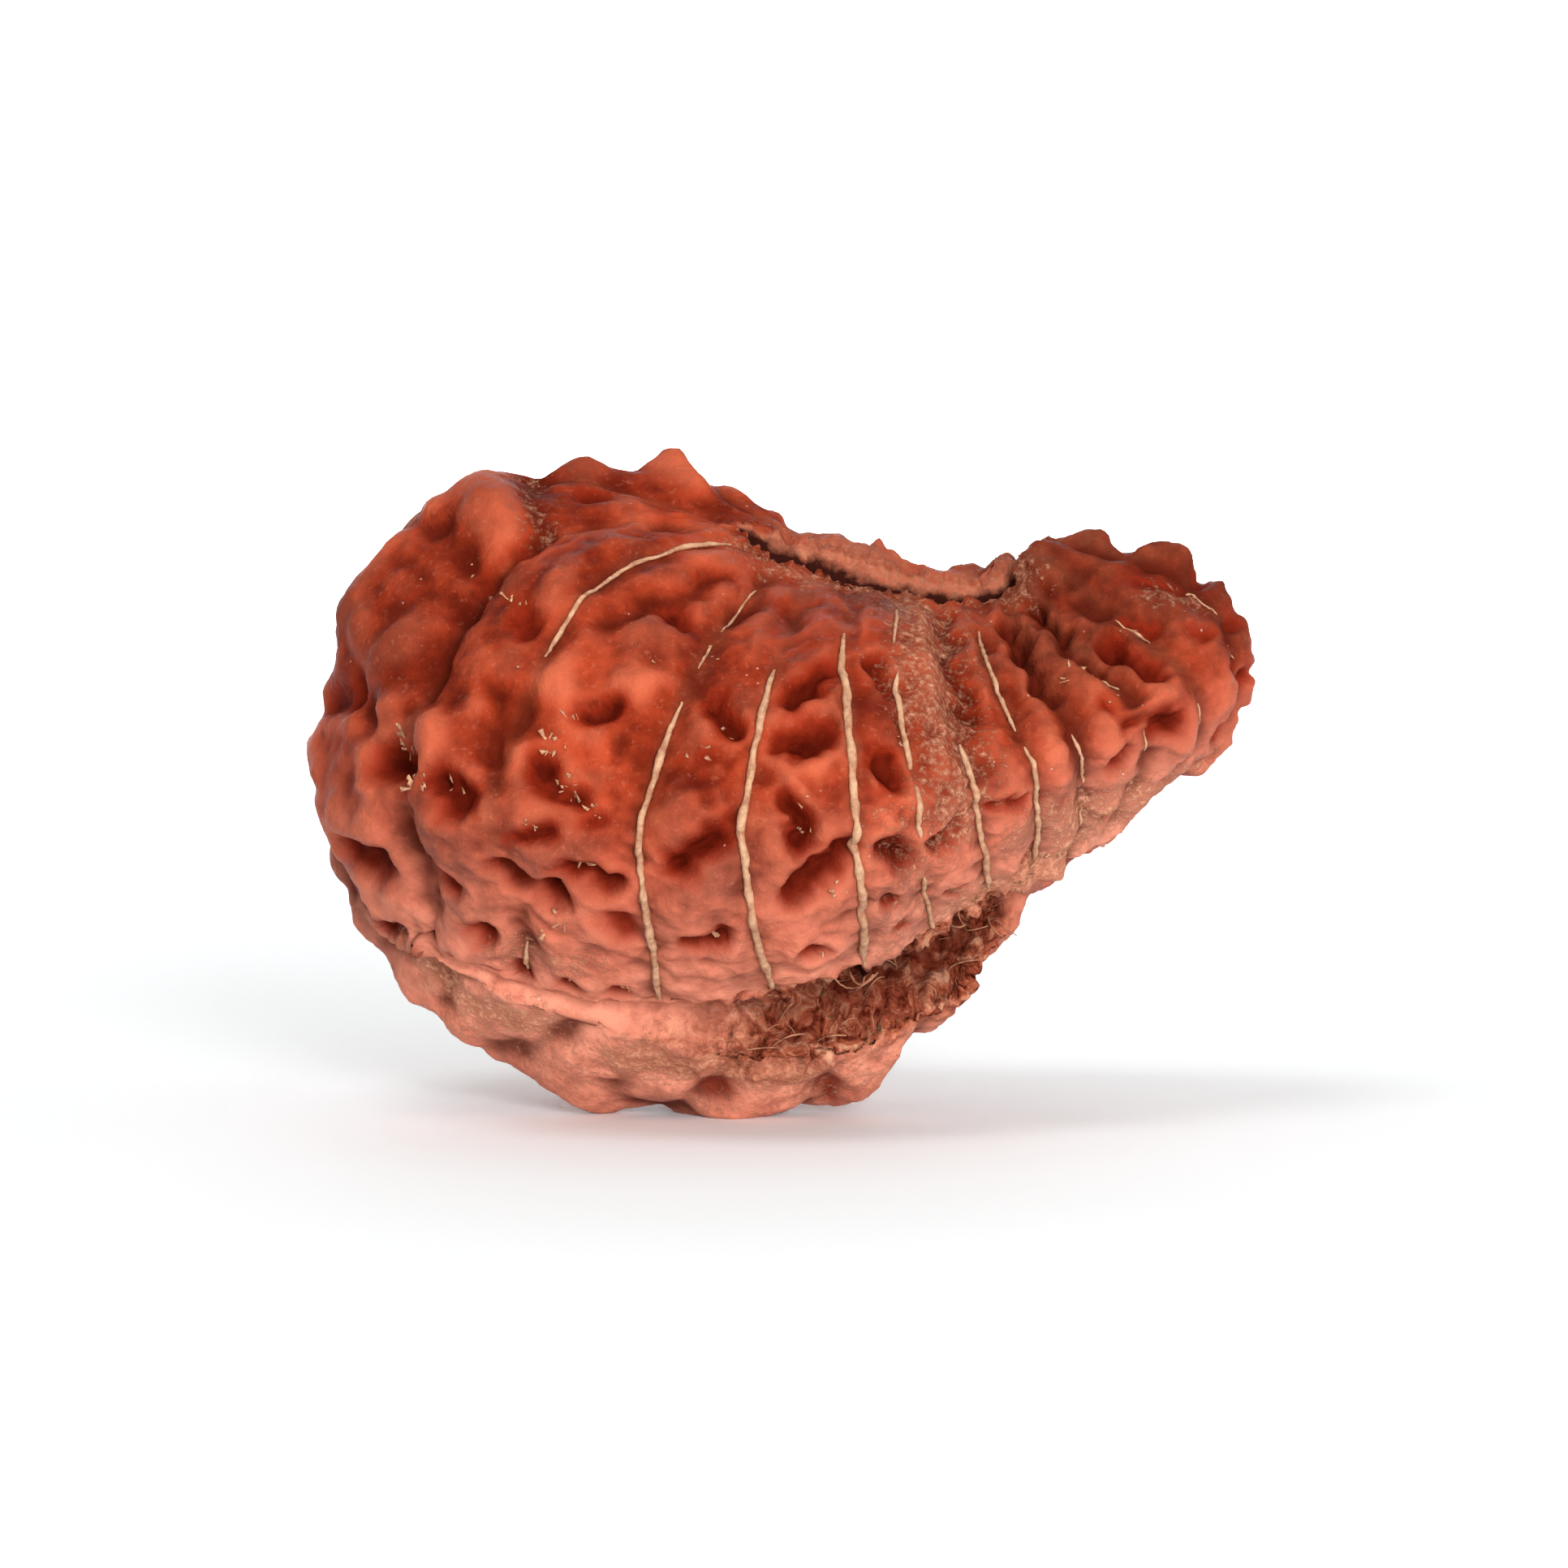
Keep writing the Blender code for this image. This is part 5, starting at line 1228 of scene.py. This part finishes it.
# Curled hairs in the lower hollow and on the slit's lips
def fibreTree():
    tree, given = newTree("fibres", (
        "Density", "Length", "Half Width", "Share In Slit", "Shortest", "Longest"), ("Seed",))
    inSlit = mathNode(tree, "MULTIPLY", painted(tree, "slit"), given["Share In Slit"])
    amount = mathNode(tree, "POWER", mathNode(tree, "ADD", painted(tree, "torn"), inSlit), 2.0)
    scatter = addNode(tree, "GeometryNodeDistributePointsOnFaces", distribute_method="RANDOM", inputs={
        "Mesh": given["Geometry"], "Density": mathNode(tree, "MULTIPLY", amount, given["Density"]),
        "Seed": given["Seed"]})
    start, middle, end = fibres["bend"]
    hair = addNode(tree, "GeometryNodeCurveQuadraticBezier", {
        "Resolution": 6, "Start": start, "Middle": middle, "End": end})
    profile = addNode(tree, "GeometryNodeCurvePrimitiveCircle", {"Resolution": 4, "Radius": 1.0})
    tube = addNode(tree, "GeometryNodeCurveToMesh", {
        "Curve": hair.outputs["Curve"], "Profile Curve": profile.outputs["Curve"],
        "Scale": mathNode(tree, "DIVIDE", given["Half Width"], given["Length"]), "Fill Caps": True})
    turn = addNode(tree, "FunctionNodeRandomValue", data_type="FLOAT_VECTOR", inputs={
        "Min": fibres["leastTurn"], "Max": fibres["mostTurn"], "Seed": given["Seed"]})
    toTurn = addNode(tree, "FunctionNodeEulerToRotation", {"Euler": turn.outputs["Value"]})
    spun = addNode(tree, "FunctionNodeRotateRotation", rotation_space="LOCAL", inputs={
        "Rotation": scatter.outputs["Rotation"], "Rotate By": toTurn.outputs["Rotation"]})
    longer = addNode(tree, "FunctionNodeRandomValue", {"Seed": given["Seed"]}, data_type="FLOAT")
    lengths = [socket for socket in longer.inputs if socket.enabled]
    connect(tree, given["Shortest"], lengths[0])
    connect(tree, given["Longest"], lengths[1])
    length = [socket for socket in longer.outputs if socket.enabled][0]
    strewn = addNode(tree, "GeometryNodeInstanceOnPoints", {
        "Points": scatter.outputs["Points"], "Instance": tube.outputs["Mesh"],
        "Rotation": spun.outputs["Rotation"],
        "Scale": mathNode(tree, "MULTIPLY", length, given["Length"])})
    return finishTree(tree, strewn.outputs["Instances"], fibreMaterial("brownFibre", fibres))


fibrePiece = bpy.data.objects.new("tornFibres", stonePiece.data.copy())
bpy.context.scene.collection.objects.link(fibrePiece)
runTree(fibrePiece, fibreTree(), {
    "Density": fibres["density"] / mm ** 2, "Length": fibres["length"] * mm,
    "Half Width": fibres["halfWidth"] * mm, "Share In Slit": fibres["shareInSlit"],
    "Shortest": fibres["shortest"], "Longest": fibres["longest"], "Seed": fibres["seed"]})
insideBox(fibrePiece)
print("fibres torn:", len(fibrePiece.data.polygons), "faces")

for piece in (stonePiece, threadPiece, fleckPiece, fibrePiece):
    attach(piece, "root")
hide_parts("rudraksha_stone")

# Lengths are in metres here
studio = {
    "floorHalfWidth": 0.6,
    "floorFront": -0.5,
    "floorBack": 0.35,
    "sweepRadius": 0.25,
    "sweepSteps": 12,
    "wallTop": 0.7,
    "floorColour": (0.88, 0.93, 0.97),
    "floorRoughness": 0.9,
    "worldColour": (1.0, 0.92, 0.84),
    "worldStrength": 0.6,
    # name: (place, aim, size, watts, spread in degrees)
    "lamps": {
        "above": ((-0.1, -0.12, 0.34), (0.0, 0.0, 0.013), 0.12, 0.26, 180.0),
        "front": ((0.09, -0.34, 0.08), (0.0, 0.0, 0.01), 0.12, 1.34, 180.0),
        "behind": ((0.0, 0.42, 0.5), (0.0, 0.5, 0.0), 0.4, 3.0, 80.0),
    },
}


# A floor that sweeps up into a wall behind
def makeFloor():
    profile = [(studio["floorFront"], 0.0), (studio["floorBack"], 0.0)]
    for step in range(1, studio["sweepSteps"] + 1):
        angle = math.pi / 2.0 * step / studio["sweepSteps"]
        profile.append((studio["floorBack"] + studio["sweepRadius"] * math.sin(angle),
                        studio["sweepRadius"] * (1.0 - math.cos(angle))))
    profile.append((profile[-1][0], studio["wallTop"]))
    places = [(side * studio["floorHalfWidth"], y, z) for y, z in profile for side in (-1.0, 1.0)]
    faces = [(2 * i, 2 * i + 1, 2 * i + 3, 2 * i + 2) for i in range(len(profile) - 1)]
    piece = meshPiece("paleFloor", places, faces=faces)
    piece.data.shade_smooth()
    material, _, shader = newMaterial("paleFloor")
    shader.inputs["Base Color"].default_value = studio["floorColour"] + (1.0,)
    shader.inputs["Roughness"].default_value = studio["floorRoughness"]
    piece.data.materials.append(material)
    return piece


makeFloor()

world = bpy.data.worlds.new("softRoom")
world.use_nodes = True
background = world.node_tree.nodes["Background"]
background.inputs["Color"].default_value = studio["worldColour"] + (1.0,)
background.inputs["Strength"].default_value = studio["worldStrength"]
bpy.context.scene.world = world
bpy.context.scene.view_settings.view_transform = "Standard"

for name, (place, aim, size, watts, spreadAngle) in studio["lamps"].items():
    light = bpy.data.lights.new(name, "AREA")
    light.size = size
    light.energy = watts
    light.spread = math.radians(spreadAngle)
    lamp = bpy.data.objects.new(name, light)
    lamp.location = place
    lamp.rotation_euler = (Vector(aim) - Vector(place)).to_track_quat("-Z", "Y").to_euler()
    bpy.context.scene.collection.objects.link(lamp)

view = {
    "pitch": 5.0,
    "distance": 0.35,
    "frameWidth": 0.0644,
    "sensor": 36.0,
}
camera = bpy.data.cameras.new("camera")
camera.sensor_width = view["sensor"]
camera.lens = view["sensor"] * view["distance"] / view["frameWidth"]
camera.clip_start = 0.01
cameraPiece = bpy.data.objects.new("camera", camera)
pitch = math.radians(view["pitch"])
target = Vector(ringMiddle * mm)  # the camera looks at the middle of the rings
cameraPiece.location = target + Vector((0.0, -math.cos(pitch), math.sin(pitch))) * view["distance"]
cameraPiece.rotation_euler = (math.pi / 2.0 - pitch, 0.0, 0.0)
bpy.context.scene.collection.objects.link(cameraPiece)
bpy.context.scene.camera = cameraPiece
print("studio ready")

bpy.context.view_layer.update()
